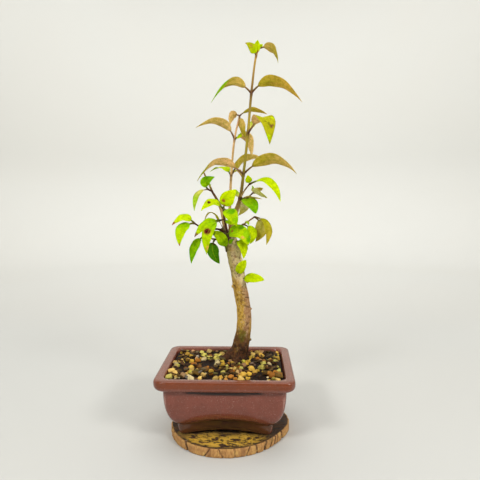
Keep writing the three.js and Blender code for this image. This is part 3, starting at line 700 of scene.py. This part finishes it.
def sawn_finish(settings):
    finish = Finish("sawn wood")
    rings = finish.node("ShaderNodeTexWave", {
        "Vector": finish.place(), "Scale": 95, "Distortion": 2.5, "Detail": 3, "Detail Scale": 0.6},
        "Fac", wave_type="RINGS", rings_direction="Z", wave_profile="SIN")
    saw = finish.noise(260, 3, stretch=(0.18, 1, 1))
    torn = finish.noise(150, 5, stretch=(0.6, 1, 1), roughness=0.65)
    colour = finish.over(rgba(settings.wood_colour), "umber", rings, 0.2, 0.9, 0, 0.35)
    colour = finish.over(colour, "brown", saw, 0.5, 0.75, 0, 0.5)
    splinters = finish.noise(520, 4, roughness=0.7)
    fresh = finish.over(rgba(settings.torn_colour), "gold", splinters, 0.42, 0.62)
    colour = finish.mix(finish.math("MULTIPLY", finish.step(torn, 0.4, 0.5), finish.tone()), colour, fresh)
    stain = finish.noise(290, 5, stretch=(0.6, 1, 1), roughness=0.7)
    colour = finish.over(colour, "black", stain, 0.52, 0.6, 0, 0.88)
    uneven = finish.bump(saw, 0.0005, finish.bump(torn, 0.0012))
    return finish.set(Base_Color=colour, Roughness=finish.rough(saw, 0.6, 0.9), Normal=uneven)


def leaf_finish():
    finish = Finish("privet leaf")
    spot = finish.tree.nodes.new("ShaderNodeSeparateXYZ")
    finish.put(spot.inputs[0], finish.node("ShaderNodeUVMap", {}, uv_map="blade"))
    along, across = spot.outputs[0], spot.outputs[1]
    away = finish.math("ABSOLUTE", finish.math("MULTIPLY", finish.math("SUBTRACT", across, 0.5), 2.0))
    rib = finish.step(away, 0.02, 0.09, 1, 0)
    slant = finish.math("SUBTRACT", finish.math("MULTIPLY", along, 8.0), finish.math("MULTIPLY", away, 1.3))
    side_rib = finish.math(
        "MULTIPLY", finish.step(finish.math("PINGPONG", slant, 0.5), 0.0, 0.1, 1, 0),
        finish.step(away, 0.3, 0.95, 0.5, 0))
    veins = finish.math("MAXIMUM", rib, side_rib)
    cloud = finish.noise(260, 4, roughness=0.6)
    mottle = finish.step(cloud, 0.43, 0.6, 0, 0.8)
    colour = finish.mix(mottle, finish.tone(), (0.7, 0.74, 0.5, 1), "MULTIPLY")
    colour = finish.mix(finish.math("MULTIPLY", veins, 0.2), colour, PALETTE["bright"])
    colour = finish.over(colour, "moss", finish.noise(900, 2), 0.6, 0.7, 0, 0.5)
    uneven = finish.bump(cloud, 0.0003, finish.bump(finish.math("SUBTRACT", 1.0, veins), 0.00022))
    return finish.set(
        Base_Color=colour, Roughness=finish.rough(cloud, 0.45, 0.6), Normal=uneven,
        Specular_IOR_Level=0.02)


def stem_finish():
    finish = Finish("young stem")
    fine = finish.noise(1300, 4)
    return finish.set(
        Base_Color=finish.over(finish.tone(), "brown", fine, 0.5, 0.7, 0, 0.45),
        Roughness=finish.rough(fine, 0.45, 0.65), Normal=finish.bump(fine, 0.0002),
        Specular_IOR_Level=0.2)


# Leaves


def midrib(start, over, tip, share):
    """Place and direction on the arched line of a leaf, from the foot of its stalk to its tip."""
    control = 2 * over - 0.5 * start - 0.5 * tip
    place = (1 - share) ** 2 * start + 2 * share * (1 - share) * control + share ** 2 * tip
    along = (1 - share) * (control - start) + share * (tip - control)
    return place, along.normalized()


def blade_half(share, width, point):
    """Half width of the blade at a share of its length; the smaller point is, the blunter its tip."""
    return width / 2 * math.sin(math.pi * min(share, 0.998) ** 0.72) ** point


def leaf_tone(tones, marks, along, across, under, length, half, shift):
    """Colour of a leaf at a place on it: from stalk to tip, then its cloudy patches and its marks."""
    first, second = tones[2:] if under else tones[:2]
    patch = noise.noise(Vector((along * 3.5, across * 1.4, shift)))
    cloud = noise.noise(Vector((along * 6, across * 3, shift + 9)))
    colour = tinted(
        PALETTE[first], (second, ease(0.05, 0.85, along + 0.35 * patch)),
        (second if under else first, 0.5 * ease(0.1, 0.5, cloud)),
        ("maroon", 0.5 * ease(0.07, 0.0, along)))
    for mark_along, mark_across, radius, name in marks:
        away = math.hypot((along - mark_along) * length, (across - mark_across) * half)
        colour = tinted(colour, (name, 1 - ease(0.75 * radius * MM, 1.15 * radius * MM, away)))
    return colour


def faces_round(verts):
    """The faces that any of these points belongs to, each once."""
    return list(dict.fromkeys(face for vert in verts for face in vert.link_faces))


def add_leaf(bm, settings, leaf, rng):
    """One leaf with its stalk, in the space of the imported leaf."""
    start, over, tip = (Vector(point[:3]) * MM for point in leaf[:3])
    width, lean_foot, lean_tip, tones, marks = leaf[3] * MM, *leaf[4:6], TONES[leaf[6]].split(), leaf[7:]
    heading = Vector((tip.x - start.x, tip.y - start.y, 0)).normalized()
    lift = math.tan(math.radians(FOLDS.get(leaf[2], LEAF_FOLD)))
    shift = rng.uniform(0, 50)
    phase = rng.uniform(0, math.tau)
    waves = rng.uniform(1.6, 2.6)
    length = (over - start).length + (tip - over).length
    stout = min(1, width / (13 * MM))

    def frame_at(share):
        place, along = midrib(start, over, tip, share)
        turn = lean_foot + (lean_tip - lean_foot) * share
        upright = math.sqrt(1 - turn * turn)
        face = Vector((0, -turn, upright)) + 0.5 * upright * heading
        normal = (face - face.dot(along) * along).normalized()
        return place, normal, normal.cross(along)

    layers = bm.verts.layers
    along_layer, across_layer = layers.float["along"], layers.float["across"]
    tone = layers.float_color["tone"]
    uv = bm.loops.layers.uv["blade"]
    verts = bmesh.ops.create_grid(bm, x_segments=BLADE_STEPS[0], y_segments=BLADE_STEPS[1], size=1)["verts"]
    for vert in verts:
        vert[along_layer] = (vert.co.x + 1) / 2
        vert[across_layer] = vert.co.y
    made = bmesh.ops.extrude_face_region(bm, geom=faces_round(verts))["geom"]
    upper = [item for item in made if isinstance(item, bmesh.types.BMVert)]
    for under, side_verts in ((True, verts), (False, upper)):
        for vert in side_verts:
            share, across = vert[along_layer], vert[across_layer]
            place, normal, side = frame_at(PETIOLE_SHARE + (1 - PETIOLE_SHARE) * share)
            half = max(blade_half(share, width, POINTS.get(leaf[2], LEAF_POINT)), 0.12 * MM)
            cup = lift * half * (abs(across) - 0.25 * across ** 2)
            cup += settings.wave * half * across ** 2 * math.sin(waves * math.tau * share + phase)
            rib = math.exp(-(across / 0.12) ** 2) * (1 - share) ** 0.5
            thick = settings.thickness * (0.5 - 0.3 * abs(across) ** 3)
            lean = -(thick + 0.3 * MM * rib) if under else thick - 0.1 * MM * rib
            vert.co = place + side * across * half + normal * (cup + lean)
            vert[tone] = leaf_tone(tones, marks, share, across, under, length * 0.85, half, shift)
    for face in faces_round(verts + upper):
        for corner in face.loops:
            corner[uv].uv = (corner.vert[along_layer], (corner.vert[across_layer] + 1) / 2)
    line = []
    for k in range(7):
        share = PETIOLE_SHARE * 1.25 * k / 6
        place, _, _ = frame_at(share)
        line.append((place, MM * stout * (1.3 - 0.45 * k / 6) * (0.4 if k == 6 else 1)))
    stalk = PALETTE["maroon"]
    end = stalk.lerp(PALETTE[tones[2]], 0.4)
    add_stem_faces(tube(bm, line, 8, [stalk.lerp(end, k / 6) for k in range(7)]))


def add_stem_faces(faces):
    """Marks faces as stem, so that they take the second material."""
    for face in faces:
        face.material_index = 1


def new_foliage():
    """An empty mesh with the layers that leaves and stems use."""
    bm = bmesh.new()
    bm.verts.layers.float.new("along")
    bm.verts.layers.float.new("across")
    bm.verts.layers.float_color.new("tone")
    bm.verts.layers.int.new("place")
    bm.loops.layers.uv.new("blade")
    return bm


def add_stem(bm, points, colours, joints):
    """A stem with a slight swelling and a darker ring at each joint that carries leaves."""
    spots = [Vector(points[k][:3]) * MM for k in joints]
    colours = [PALETTE[name] for name in colours.split()]
    places, tones = [], []
    for place, radius, along in flow(points, 8):
        near = max((math.exp(-((place - spot).length / (1.6 * MM)) ** 2) for spot in spots), default=0)
        k = min(int(along), len(colours) - 2)
        patch = noise.noise(place * 260)
        places.append((place, radius * (1 + 0.3 * near + 0.08 * patch)))
        tones.append(tinted(
            colours[k].lerp(colours[k + 1], along - k), ("brown", 0.3 * ease(0.1, 0.5, patch)),
            ("maroon", 0.75 * near)))
    last = places[-1]
    places.append((last[0] + (last[0] - places[-2][0]).normalized() * last[1] * 0.5, last[1] * 0.4))
    tones.append(tones[-1])
    add_stem_faces(tube(bm, places, 10, tones, 0.06))


# Operators


class PRIVET_OT_stage(bpy.types.Operator):
    """Adds the paper floor that curves up all round, the lights and the camera"""

    bl_idname = "privet.stage"
    bl_label = "Floor, light and camera"

    def execute(self, context):
        scene = context.scene
        settings = scene.privet_stage
        bm = bmesh.new()
        flat = settings.radius - FLOOR_BEND
        turns = [math.pi / 2 * k / 12 for k in range(1, 13)]
        profile = [(0, 0), (0.3, 0), (0.8, 0), (flat, 0)]
        profile += [
            (flat + FLOOR_BEND * math.sin(turn), FLOOR_BEND - FLOOR_BEND * math.cos(turn)) for turn in turns]
        profile.append((settings.radius, WALL_HEIGHT))
        verts = [bm.verts.new((x, 0, z)) for x, z in profile]
        edges = [bm.edges.new(pair) for pair in zip(verts, verts[1:])]
        bmesh.ops.spin(
            bm, geom=verts + edges, cent=(0, 0, 0), axis=(0, 0, 1), angle=math.tau, steps=96,
            use_merge=True)
        bmesh.ops.remove_doubles(bm, verts=bm.verts, dist=0.0001)
        bmesh.ops.recalc_face_normals(bm, faces=bm.faces)
        if bm.faces[0].normal.z < 0:
            bmesh.ops.reverse_faces(bm, faces=bm.faces)
        floor = new_object("paper_floor", bm)
        floor.data.shade_smooth()
        finish = Finish("floor paper")
        colour = finish.over(
            rgba(settings.floor_colour), "paper", finish.noise(2.2, 2), 0.35, 0.65, 0, 0.5)
        floor.data.materials.append(finish.set(Base_Color=colour, Roughness=0.85))
        scene.world = scene.world or bpy.data.worlds.new("studio")
        scene.world.use_nodes = True
        sky = scene.world.node_tree.nodes["Background"]
        sky.inputs["Color"].default_value = (1, 1, 1, 1)
        sky.inputs["Strength"].default_value = settings.sky_strength
        for name, (place, aim, size, spread) in LAMPS.items():
            lamp = bpy.data.lights.new(name + "_light", "AREA")
            lamp.shape = "RECTANGLE"
            lamp.size, lamp.size_y = size
            lamp.energy = getattr(settings, name + "_power")
            lamp.spread = math.radians(spread)
            holder = link(lamp.name, lamp)
            holder.location = place
            holder.rotation_euler = (Vector(aim) - Vector(place)).to_track_quat("-Z", "Y").to_euler()
        scene.view_settings.view_transform = "Standard"
        camera = bpy.data.cameras.new("camera")
        camera.lens = settings.lens
        camera.sensor_width = SENSOR_WIDTH
        scene.camera = link("camera", camera)
        scene.camera.location = CAMERA_PLACE
        scene.camera.rotation_euler = [math.radians(turn) for turn in CAMERA_TURN]
        return {"FINISHED"}


class PRIVET_OT_slice(bpy.types.Operator):
    """Adds the round slice of wood with its cracked bark"""

    bl_idname = "privet.slice"
    bl_label = "Wood slice"

    def execute(self, context):
        settings = context.scene.privet_slice
        rng = random.Random(settings.seed)
        top = settings.thickness
        cracks = list(SLICE_CRACKS) + [
            (rng.uniform(0, math.tau), rng.uniform(0.35, 1.2), rng.uniform(0.5, 1.6),
             rng.uniform(-0.03, 0.03)) for _ in range(settings.cracks)]

        def radius_at(angle):
            place = angle / (math.pi / 6)
            k = int(place)
            four = [SLICE_RADII[(k + i) % 12] for i in (-1, 0, 1, 2)]
            t = place - k
            rise = (four[2] - four[0]) / 2
            fall = (four[3] - four[1]) / 2
            return MM * (
                (2 * t ** 3 - 3 * t ** 2 + 1) * four[1] + (t ** 3 - 2 * t ** 2 + t) * rise
                + (3 * t ** 2 - 2 * t ** 3) * four[2] + (t ** 3 - t ** 2) * fall)

        def crack_depth(angle, height):
            """How deep the bark is cracked here, in millimetres."""
            deepest = 0
            for centre, width, depth, slant in cracks:
                bend = slant * height / top + 0.014 * noise.noise(Vector((centre * 7, height * 330, 0)))
                away = (angle - centre - bend + math.pi) % math.tau - math.pi
                deepest = max(deepest, depth * math.exp(-(away * ARC / width) ** 2))
            return deepest

        def ring(height, inset, bark):
            points = []
            for i in range(SLICE_STEPS):
                angle = math.tau * i / SLICE_STEPS
                out = Vector((math.cos(angle), math.sin(angle), 0))
                radius = radius_at(angle)
                spot = out * radius + Vector((0, 0, height))
                rough = 0.5 + 0.5 * noise.fractal(spot * 180, 1, 2, 4)
                plate = 0.5 + 0.5 * noise.noise(Vector((angle * 14, height * 60, 3)))
                cut = bark * (0.2 + 0.55 * rough + 0.5 * plate + crack_depth(angle, height))
                points.append(SLICE_CENTRE + out * (radius - MM * (inset + cut)) + Vector((0, 0, height)))
            return points

        bm = bmesh.new()
        bm.verts.layers.float_color.new("tone")
        rings = [ring(0, 12, 0), ring(0, 4, 0.4)]
        rings += [ring(top * share, inset, 1) for share, inset in SLICE_EDGE]
        rings += [ring(top, inset, max(0, 1 - inset / 6)) for inset in SLICE_FACE]
        for face in loft(bm, rings):
            middle = face.calc_center_median()
            away = (middle - SLICE_CENTRE).to_2d().length
            face.material_index = int(middle.z > top - 0.02 * MM and away < radius_at(
                math.atan2(middle.y, middle.x - SLICE_CENTRE.x) % math.tau) - BARK_WIDTH)
        for vert in bm.verts:
            if vert.co.z > top - 0.01 * MM and (vert.co - SLICE_CENTRE).to_2d().length < 61 * MM:
                vert.co.z += 0.2 * MM * noise.noise(vert.co * 300)
        piece = add_piece(
            "slice_wood", bm, [edge_bark_finish(), sawn_finish(settings)], ["wood_slice"])
        bark = rgba(settings.bark_colour)

        def tone(place, normal):
            out = place - SLICE_CENTRE
            angle = math.atan2(out.y, out.x) % math.tau
            edge = radius_at(angle) - out.to_2d().length
            if place.z > top - 0.3 * MM and edge > BARK_WIDTH:
                front = ease(-0.028, -0.042, place.y) * ease(0.056, 0.03, abs(place.x - 0.002))
                front *= ease(0.003, 0.008, edge)
                patch = 0.3 * ease(0.1, 0.5, noise.noise(place * 60)) + front
                return (patch, patch, patch, 1)
            plate = noise.noise(Vector((angle * 9, 0, 5)))
            return tinted(
                bark, ("umber", ease(0.25, 1.0, crack_depth(angle, place.z))),
                ("clay", 0.55 * ease(0, 0.6, plate)), ("umber", 0.5 * ease(0.7, 0.0, place.z / MM)))

        paint(piece, tone)
        return {"FINISHED"}


class PRIVET_OT_pot(bpy.types.Operator):
    """Adds the glazed pot with its rolled rim, arched feet and drain holes"""

    bl_idname = "privet.pot"
    bl_label = "Glazed pot"

    def execute(self, context):
        settings = context.scene.privet_pot
        bm = bmesh.new()
        loft(bm, [pot_outline(settings, inset * MM, height * MM, lift * MM)
                  for inset, height, lift in POT_SECTION])
        pot = add_piece("pot_glazed", bm, [glaze_finish()], ["pot"])
        smooth = pot.modifiers.new("rounding", "SUBSURF")
        smooth.levels = smooth.render_levels = 2
        bake_modifiers(pot)
        cutter_mesh = bmesh.new()
        for side in (-1, 1):
            bmesh.ops.create_cone(
                cutter_mesh, cap_ends=True, segments=48, radius1=settings.drain_radius,
                radius2=settings.drain_radius, depth=0.03,
                matrix=Matrix.Translation((side * settings.drain_offset, 0, settings.base + 0.015)))
        cutter = new_object("drain_cutter", cutter_mesh)
        holes = pot.modifiers.new("drain holes", "BOOLEAN")
        holes.operation = "DIFFERENCE"
        holes.object = cutter
        bake_modifiers(pot)
        spare = cutter.data
        bpy.data.objects.remove(cutter)
        bpy.data.meshes.remove(spare)
        body, rim, edge, foot = (rgba(colour) for colour in (
            settings.body_colour, settings.rim_glaze_and_top_light, settings.edge_colour, settings.foot_colour))

        def tone(place, normal):
            height = (place.z - settings.base) / MM
            out = max(abs(place.x) - settings.length / 2, abs(place.y) - settings.width / 2) / MM
            middle = max(0, 1 - (place.x / ARCH_HALF_SPAN[0]) ** 2)
            # Pale streaks down the body's corners, between the feet and the rim, are a painted highlight
            # where the lamps' sheen would fall
            corner = min(abs(place.x) - 57 * MM, abs(place.y) - 42 * MM) / MM
            painted_corner_highlight = ease(4.4, 6, corner) * ease(26, 34, height) * ease(51, 45, height)
            colour = tinted(body.lerp(foot, 0.5 * ease(24, 14, height)), ("painted_corner_highlight", 0.4 * painted_corner_highlight))
            # Painted shade under the arches: the foot glaze goes towards black in the middle of each side,
            # where the arch is highest
            if out > -24 and height < 13.7 + 6 * middle and normal.z > -0.5:
                under = tinted(foot, ("black", 0.7 * middle))
                colour = colour.lerp(under, ease(15, 13.4, height - 6 * middle))
            # Painted shade: a near-black band just under the rim's lip, deepest in the middle of the front
            # and back, where the overhang shades the body. The same dark colour also serves some of the bark
            # chips on the soil.
            painted_groove_shade = ease(53.2 - 2.6 * middle, 53.8 - 1.4 * middle, height)
            painted_groove_shade *= ease(0, 0.3, middle) * (out > -12)
            colour = tinted(colour, ("groove_shade_and_chip", 0.95 * painted_groove_shade))
            if height > 55.8:
                worn = ease(60.6, 62, height) * ease(-3.4, -1.6, out)
                # The rim takes the paler rim glaze where it faces up; part of that paleness is painted light
                # from above
                colour = body.lerp(rim, 0.35).lerp(rim, ease(0.3, 0.9, normal.z)).lerp(edge, worn)
            return colour

        paint(pot, tone)
        return {"FINISHED"}


class PRIVET_OT_drain_mesh(bpy.types.Operator):
    """Gives the two packed drain meshes their plastic"""

    bl_idname = "privet.drain_mesh"
    bl_label = "Drain meshes"

    def execute(self, context):
        plastic = plastic_finish()
        for name in ("drain_mesh_left", "drain_mesh_right"):
            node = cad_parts[name]
            if not node.material_slots:
                node.data.materials.append(plastic)
            for holder in node.material_slots:
                holder.material = plastic
        return {"FINISHED"}


class PRIVET_OT_soil(bpy.types.Operator):
    """Adds the damp soil and the grit that covers it"""

    bl_idname = "privet.soil"
    bl_label = "Soil and grit"

    def execute(self, context):
        settings = context.scene.privet_soil
        pot = context.scene.privet_pot
        trunk = Vector(TRUNK_LINE[2][:2]) * MM
        rng = random.Random(settings.seed)

        def level(x, y):
            away = (Vector((x, y)) - trunk).length
            uneven = 0.7 * MM * noise.noise(Vector((x, y, 0)) * 90)
            return settings.level + settings.mound * ease(28 * MM, 15 * MM, away) + uneven

        bm = bmesh.new()
        rings = [pot_outline(pot, (inset + 0.3) * MM, height * MM) for inset, height in SOIL_WALL]
        rings.append(pot_outline(pot, 11.5 * MM, settings.level - pot.base - 1.4 * MM))
        for inset in SOIL_FACE:
            ring = pot_outline(pot, inset * MM, 0)
            rings.append([Vector((point.x, point.y, level(point.x, point.y))) for point in ring])
        loft(bm, rings)
        add_piece("soil_bed", bm, [soil_finish(settings)], ["soil"])

        bm = bmesh.new()
        bm.verts.layers.float_color.new("tone")
        reach = Vector((pot.length / 2 - GRIT_INSET, pot.width / 2 - GRIT_INSET))
        mould = bpy.data.meshes.new("grain")

        def add_grain(place, shape, name, tilt=0.6):
            """An angular grain: a cube with its edges cut off, pushed out of true and turned."""
            grain = bmesh.new()
            tone = grain.verts.layers.float_color.new("tone")
            bmesh.ops.create_cube(grain, size=1)
            bmesh.ops.bevel(
                grain, geom=grain.edges[:], offset=rng.uniform(0.16, 0.3), affect="EDGES", segments=1,
                profile=0.5, material=-1)
            turn = Matrix.Rotation(rng.uniform(0, math.tau), 3, "Z") @ Matrix.Rotation(
                rng.uniform(-tilt, tilt), 3, "X") @ Matrix.Rotation(rng.uniform(-tilt, tilt), 3, "Y")
            shift = Vector((rng.uniform(0, 60), 0, 0))
            colour = PALETTE[name].lerp(PALETTE[rng.choice(GRIT_COLOURS)], rng.uniform(0, 0.2))
            colour *= rng.uniform(0.54, 1.14)
            for vert in grain.verts:
                vert.co *= 1 + 0.34 * noise.noise(vert.co * 2 + shift)
                vert.co = place + turn @ (vert.co * shape)
                vert[tone] = (*colour[:3], 1)
            grain.to_mesh(mould)
            grain.free()
            bm.from_mesh(mould)

        placed = []

        def scatter(count, low, high, spacing, sink):
            wanted = len(placed) + count
            for _ in range(count * 40):
                if len(placed) >= wanted:
                    break
                size = rng.uniform(low, high) * MM
                x = rng.uniform(-1, 1) * (reach.x - 0.4 * size)
                y = rng.uniform(-1, 1) * (reach.y - 0.4 * size)
                corner = Vector((abs(x) - reach.x + GRIT_CORNER, abs(y) - reach.y + GRIT_CORNER))
                if min(corner) > 0 and corner.length > GRIT_CORNER - 0.4 * size:
                    continue
                if (Vector((x, y)) - trunk).length < GRAIN_CLEAR:
                    continue
                if any(math.hypot(x - a, y - b) < spacing * (size + c) / 2 for a, b, c in placed):
                    continue
                if noise.noise(Vector((x, y, 0.07)) * 70) < rng.uniform(-0.32, 0.22):
                    continue
                placed.append((x, y, size))
                pale = noise.noise(Vector((x, y, 9)) * 45)
                name = rng.choice(GRIT_COLOURS)
                if pale > 0.15 and name in ("clay", "brown", "slate", "amber"):
                    name = rng.choice(("straw", "cream", "ochre"))
                shape = Vector((1, rng.uniform(0.7, 1.0), rng.uniform(0.6, 0.85))) * size
                add_grain(Vector((x, y, level(x, y) + sink * size)), shape, name)

        scatter(settings.grains, 4.3, 7.6, 0.84, 0.12)
        scatter(settings.crumbs, 2.0, 3.6, 0.9, 0.0)
        for _ in range(settings.chips):
            x, y = rng.uniform(-1, 1) * (reach.x - 5 * MM), rng.uniform(-1, 1) * (reach.y - 5 * MM)
            if (Vector((x, y)) - trunk).length > CHIP_CLEAR:
                shape = Vector((rng.uniform(4, 9), rng.uniform(2.0, 4.2), rng.uniform(0.9, 1.6))) * MM
                add_grain(
                    Vector((x, y, level(x, y) + rng.uniform(1.4, 3.6) * MM)), shape,
                    rng.choice(("black", "black", "groove_shade_and_chip")), 0.35)
        bpy.data.meshes.remove(mould)
        add_piece("soil_grit", bm, [grit_finish()], ["soil"], smooth=False)
        return {"FINISHED"}


class PRIVET_OT_trunk(bpy.types.Operator):
    """Adds the trunk with its roots, old leaf scars and bark"""

    bl_idname = "privet.trunk"
    bl_label = "Trunk"

    def execute(self, context):
        settings = context.scene.privet_trunk
        bm = bmesh.new()
        tube(bm, flow(TRUNK_LINE, 6), 40)
        for root in ROOTS:
            tube(bm, flow(root, 6), 24)
        for x, y, z, size in NUBS:
            bmesh.ops.create_icosphere(
                bm, subdivisions=2, radius=size * MM, matrix=Matrix.Translation(Vector((x, y, z)) * MM))
        piece = add_piece("trunk_wood", bm, [bark_finish()], ["trunk"])
        join = piece.modifiers.new("one skin", "REMESH")
        join.mode = "VOXEL"
        join.voxel_size = settings.detail
        join.use_smooth_shade = True
        even = piece.modifiers.new("soft joints", "SMOOTH")
        even.factor = 0.5
        even.iterations = 3
        bake_modifiers(piece)
        mesh = piece.data
        axis = [(place, radius) for place, radius, _ in flow(TRUNK_LINE, 6)]
        points = []
        for place, normal in [(vert.co.copy(), vert.normal.copy()) for vert in mesh.vertices]:
            ridge = noise.fractal(Vector((place.x * 420, place.y * 420, place.z * 130)), 1, 2, 4)
            knots = noise.noise(place * 150)
            strength = settings.relief * (1 + 1.6 * ease(0.115, 0.08, place.z))
            points += (place + normal * strength * (ridge + 0.8 * knots))[:]
        mesh.vertices.foreach_set("co", points)
        mesh.update()

        def tone(place, normal):
            z = place.z / MM
            centre = min(axis, key=lambda entry: abs(entry[0].z - place.z))[0]
            side = (place.x - centre.x) / (8 * MM)
            patch = noise.fractal(place * 160, 1, 2, 3)
            fleck = noise.noise(place * 380)
            middle = tinted(
                PALETTE["gold"], ("rose", ease(-0.3, 0.4, side + 0.5 * patch)),
                ("ochre", 0.6 * ease(0.6, 0.9, side) * ease(128, 118, z)))
            colour = tinted(
                PALETTE["stone"], ("cork", ease(0.1, 0.7, patch)), ("straw", 0.45 * ease(-0.1, -0.7, side)),
                ("cream", 0.5 * ease(0.0, 0.6, side + 0.3 * patch)))
            colour = colour.lerp(middle, ease(172, 156, z + 5 * patch))
            band = ease(139, 146, z + 6 * side) * ease(173, 166, z + 8 * side)
            lines = noise.noise(Vector((z * 0.5 + side * 2.2, side * 0.8, 2)))
            low = ease(118, 104, z + 10 * patch + 5 * max(side, 0))
            moss_spot = math.hypot((place.x - 18 * MM) / (5.5 * MM), (z - 107) / 10)
            moss = 0.85 * ease(1.1, 0.5, moss_spot + 0.5 * patch) if normal.y < 0.2 else 0
            dark = ease(112, 92, z) * ease(0.0, 0.35, noise.noise(place * 210))
            shade = 0.17 + 0.32 * ease(124, 96, z) - 0.17 * ease(150, 175, z)
            return tinted(
                colour, ("scar", 0.8 * band * ease(0.6, 0.1, side + 0.3 * patch)),
                ("umber", 0.55 * ease(0.28, 0.45, fleck)), ("umber", 0.75 * band * ease(0.3, 0.42, lines)),
                ("clay", 0.9 * low), ("ochre", 0.4 * low * ease(0.2, 0.5, fleck)), ("moss", moss),
                ("flare", 0.85 * ease(98, 84, z + 10 * patch)), ("black", 0.7 * dark), ("black", shade),
                ("stub", 0.85 * ease(214, 222, z - 0.8 * (place.x / MM - 2))))

        paint(piece, tone)
        return {"FINISHED"}


class PRIVET_OT_shoots(bpy.types.Operator):
    """Adds every leafy shoot: its stems, leaf stalks and leaves"""

    bl_idname = "privet.shoots"
    bl_label = "Leafy shoots"

    def execute(self, context):
        settings = context.scene.privet_leaf
        rng = random.Random(settings.seed)
        materials = leaf_materials()
        for name, (stems, leaves) in SHOOTS.items():
            bm = new_foliage()
            for k, (points, colours) in enumerate(stems):
                add_stem(bm, points, colours, sorted({leaf[1] for leaf in leaves if leaf[0] == k}))
            for stem, point, *leaf in leaves:
                add_leaf(bm, settings, (stems[stem][0][point], *leaf), rng)
            add_piece(name.replace("_shoot", "_foliage"), bm, materials, [name])
        return {"FINISHED"}


class PRIVET_OT_trunk_leaves(bpy.types.Operator):
    """Adds the single leaves that grow straight from the trunk"""

    bl_idname = "privet.trunk_leaves"
    bl_label = "Leaves on the trunk"

    def execute(self, context):
        settings = context.scene.privet_leaf
        rng = random.Random(settings.seed + 1)
        materials = leaf_materials()
        for name, leaf in TRUNK_LEAVES.items():
            bm = new_foliage()
            add_leaf(bm, settings, leaf, rng)
            add_piece(name + "_blade", bm, materials, [name])
        return {"FINISHED"}


def leaf_materials():
    """The blade's and the stem's material, made once for all leaves."""
    made = [bpy.data.materials.get(name) for name in ("privet leaf", "young stem")]
    return made if all(made) else [leaf_finish(), stem_finish()]


class PRIVET_PT_panel(bpy.types.Panel):
    """Lists the steps that finish the bonsai"""

    bl_label = "Privet bonsai"
    bl_idname = "PRIVET_PT_panel"
    bl_space_type = "VIEW_3D"
    bl_region_type = "UI"
    bl_category = "Bonsai"

    def draw(self, context):
        for step in STEPS:
            self.layout.operator(step.bl_idname)
        for name in SETTINGS:
            box = self.layout.box()
            box.label(text=name.replace("privet_", "").capitalize())
            group = getattr(context.scene, name)
            for key in group.__annotations__:
                box.prop(group, key)


STEPS = (
    PRIVET_OT_stage, PRIVET_OT_slice, PRIVET_OT_pot, PRIVET_OT_drain_mesh, PRIVET_OT_soil,
    PRIVET_OT_trunk, PRIVET_OT_shoots, PRIVET_OT_trunk_leaves,
)
SETTINGS = {
    "privet_stage": StageSettings,
    "privet_slice": SliceSettings,
    "privet_pot": PotSettings,
    "privet_soil": SoilSettings,
    "privet_trunk": TrunkSettings,
    "privet_leaf": LeafSettings,
}


def register():
    for kind in (*SETTINGS.values(), *STEPS, PRIVET_PT_panel):
        bpy.utils.register_class(kind)
    for name, kind in SETTINGS.items():
        setattr(bpy.types.Scene, name, PointerProperty(type=kind))


def unregister():
    for name in SETTINGS:
        delattr(bpy.types.Scene, name)
    for kind in reversed((*SETTINGS.values(), *STEPS, PRIVET_PT_panel)):
        bpy.utils.unregister_class(kind)


def main():
    """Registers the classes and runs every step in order."""
    register()
    bpy.ops.privet.stage()
    bpy.ops.privet.slice()
    bpy.ops.privet.pot()
    bpy.ops.privet.drain_mesh()
    bpy.ops.privet.soil()
    bpy.ops.privet.trunk()
    bpy.ops.privet.shoots()
    bpy.ops.privet.trunk_leaves()


if __name__ == "__main__":
    main()
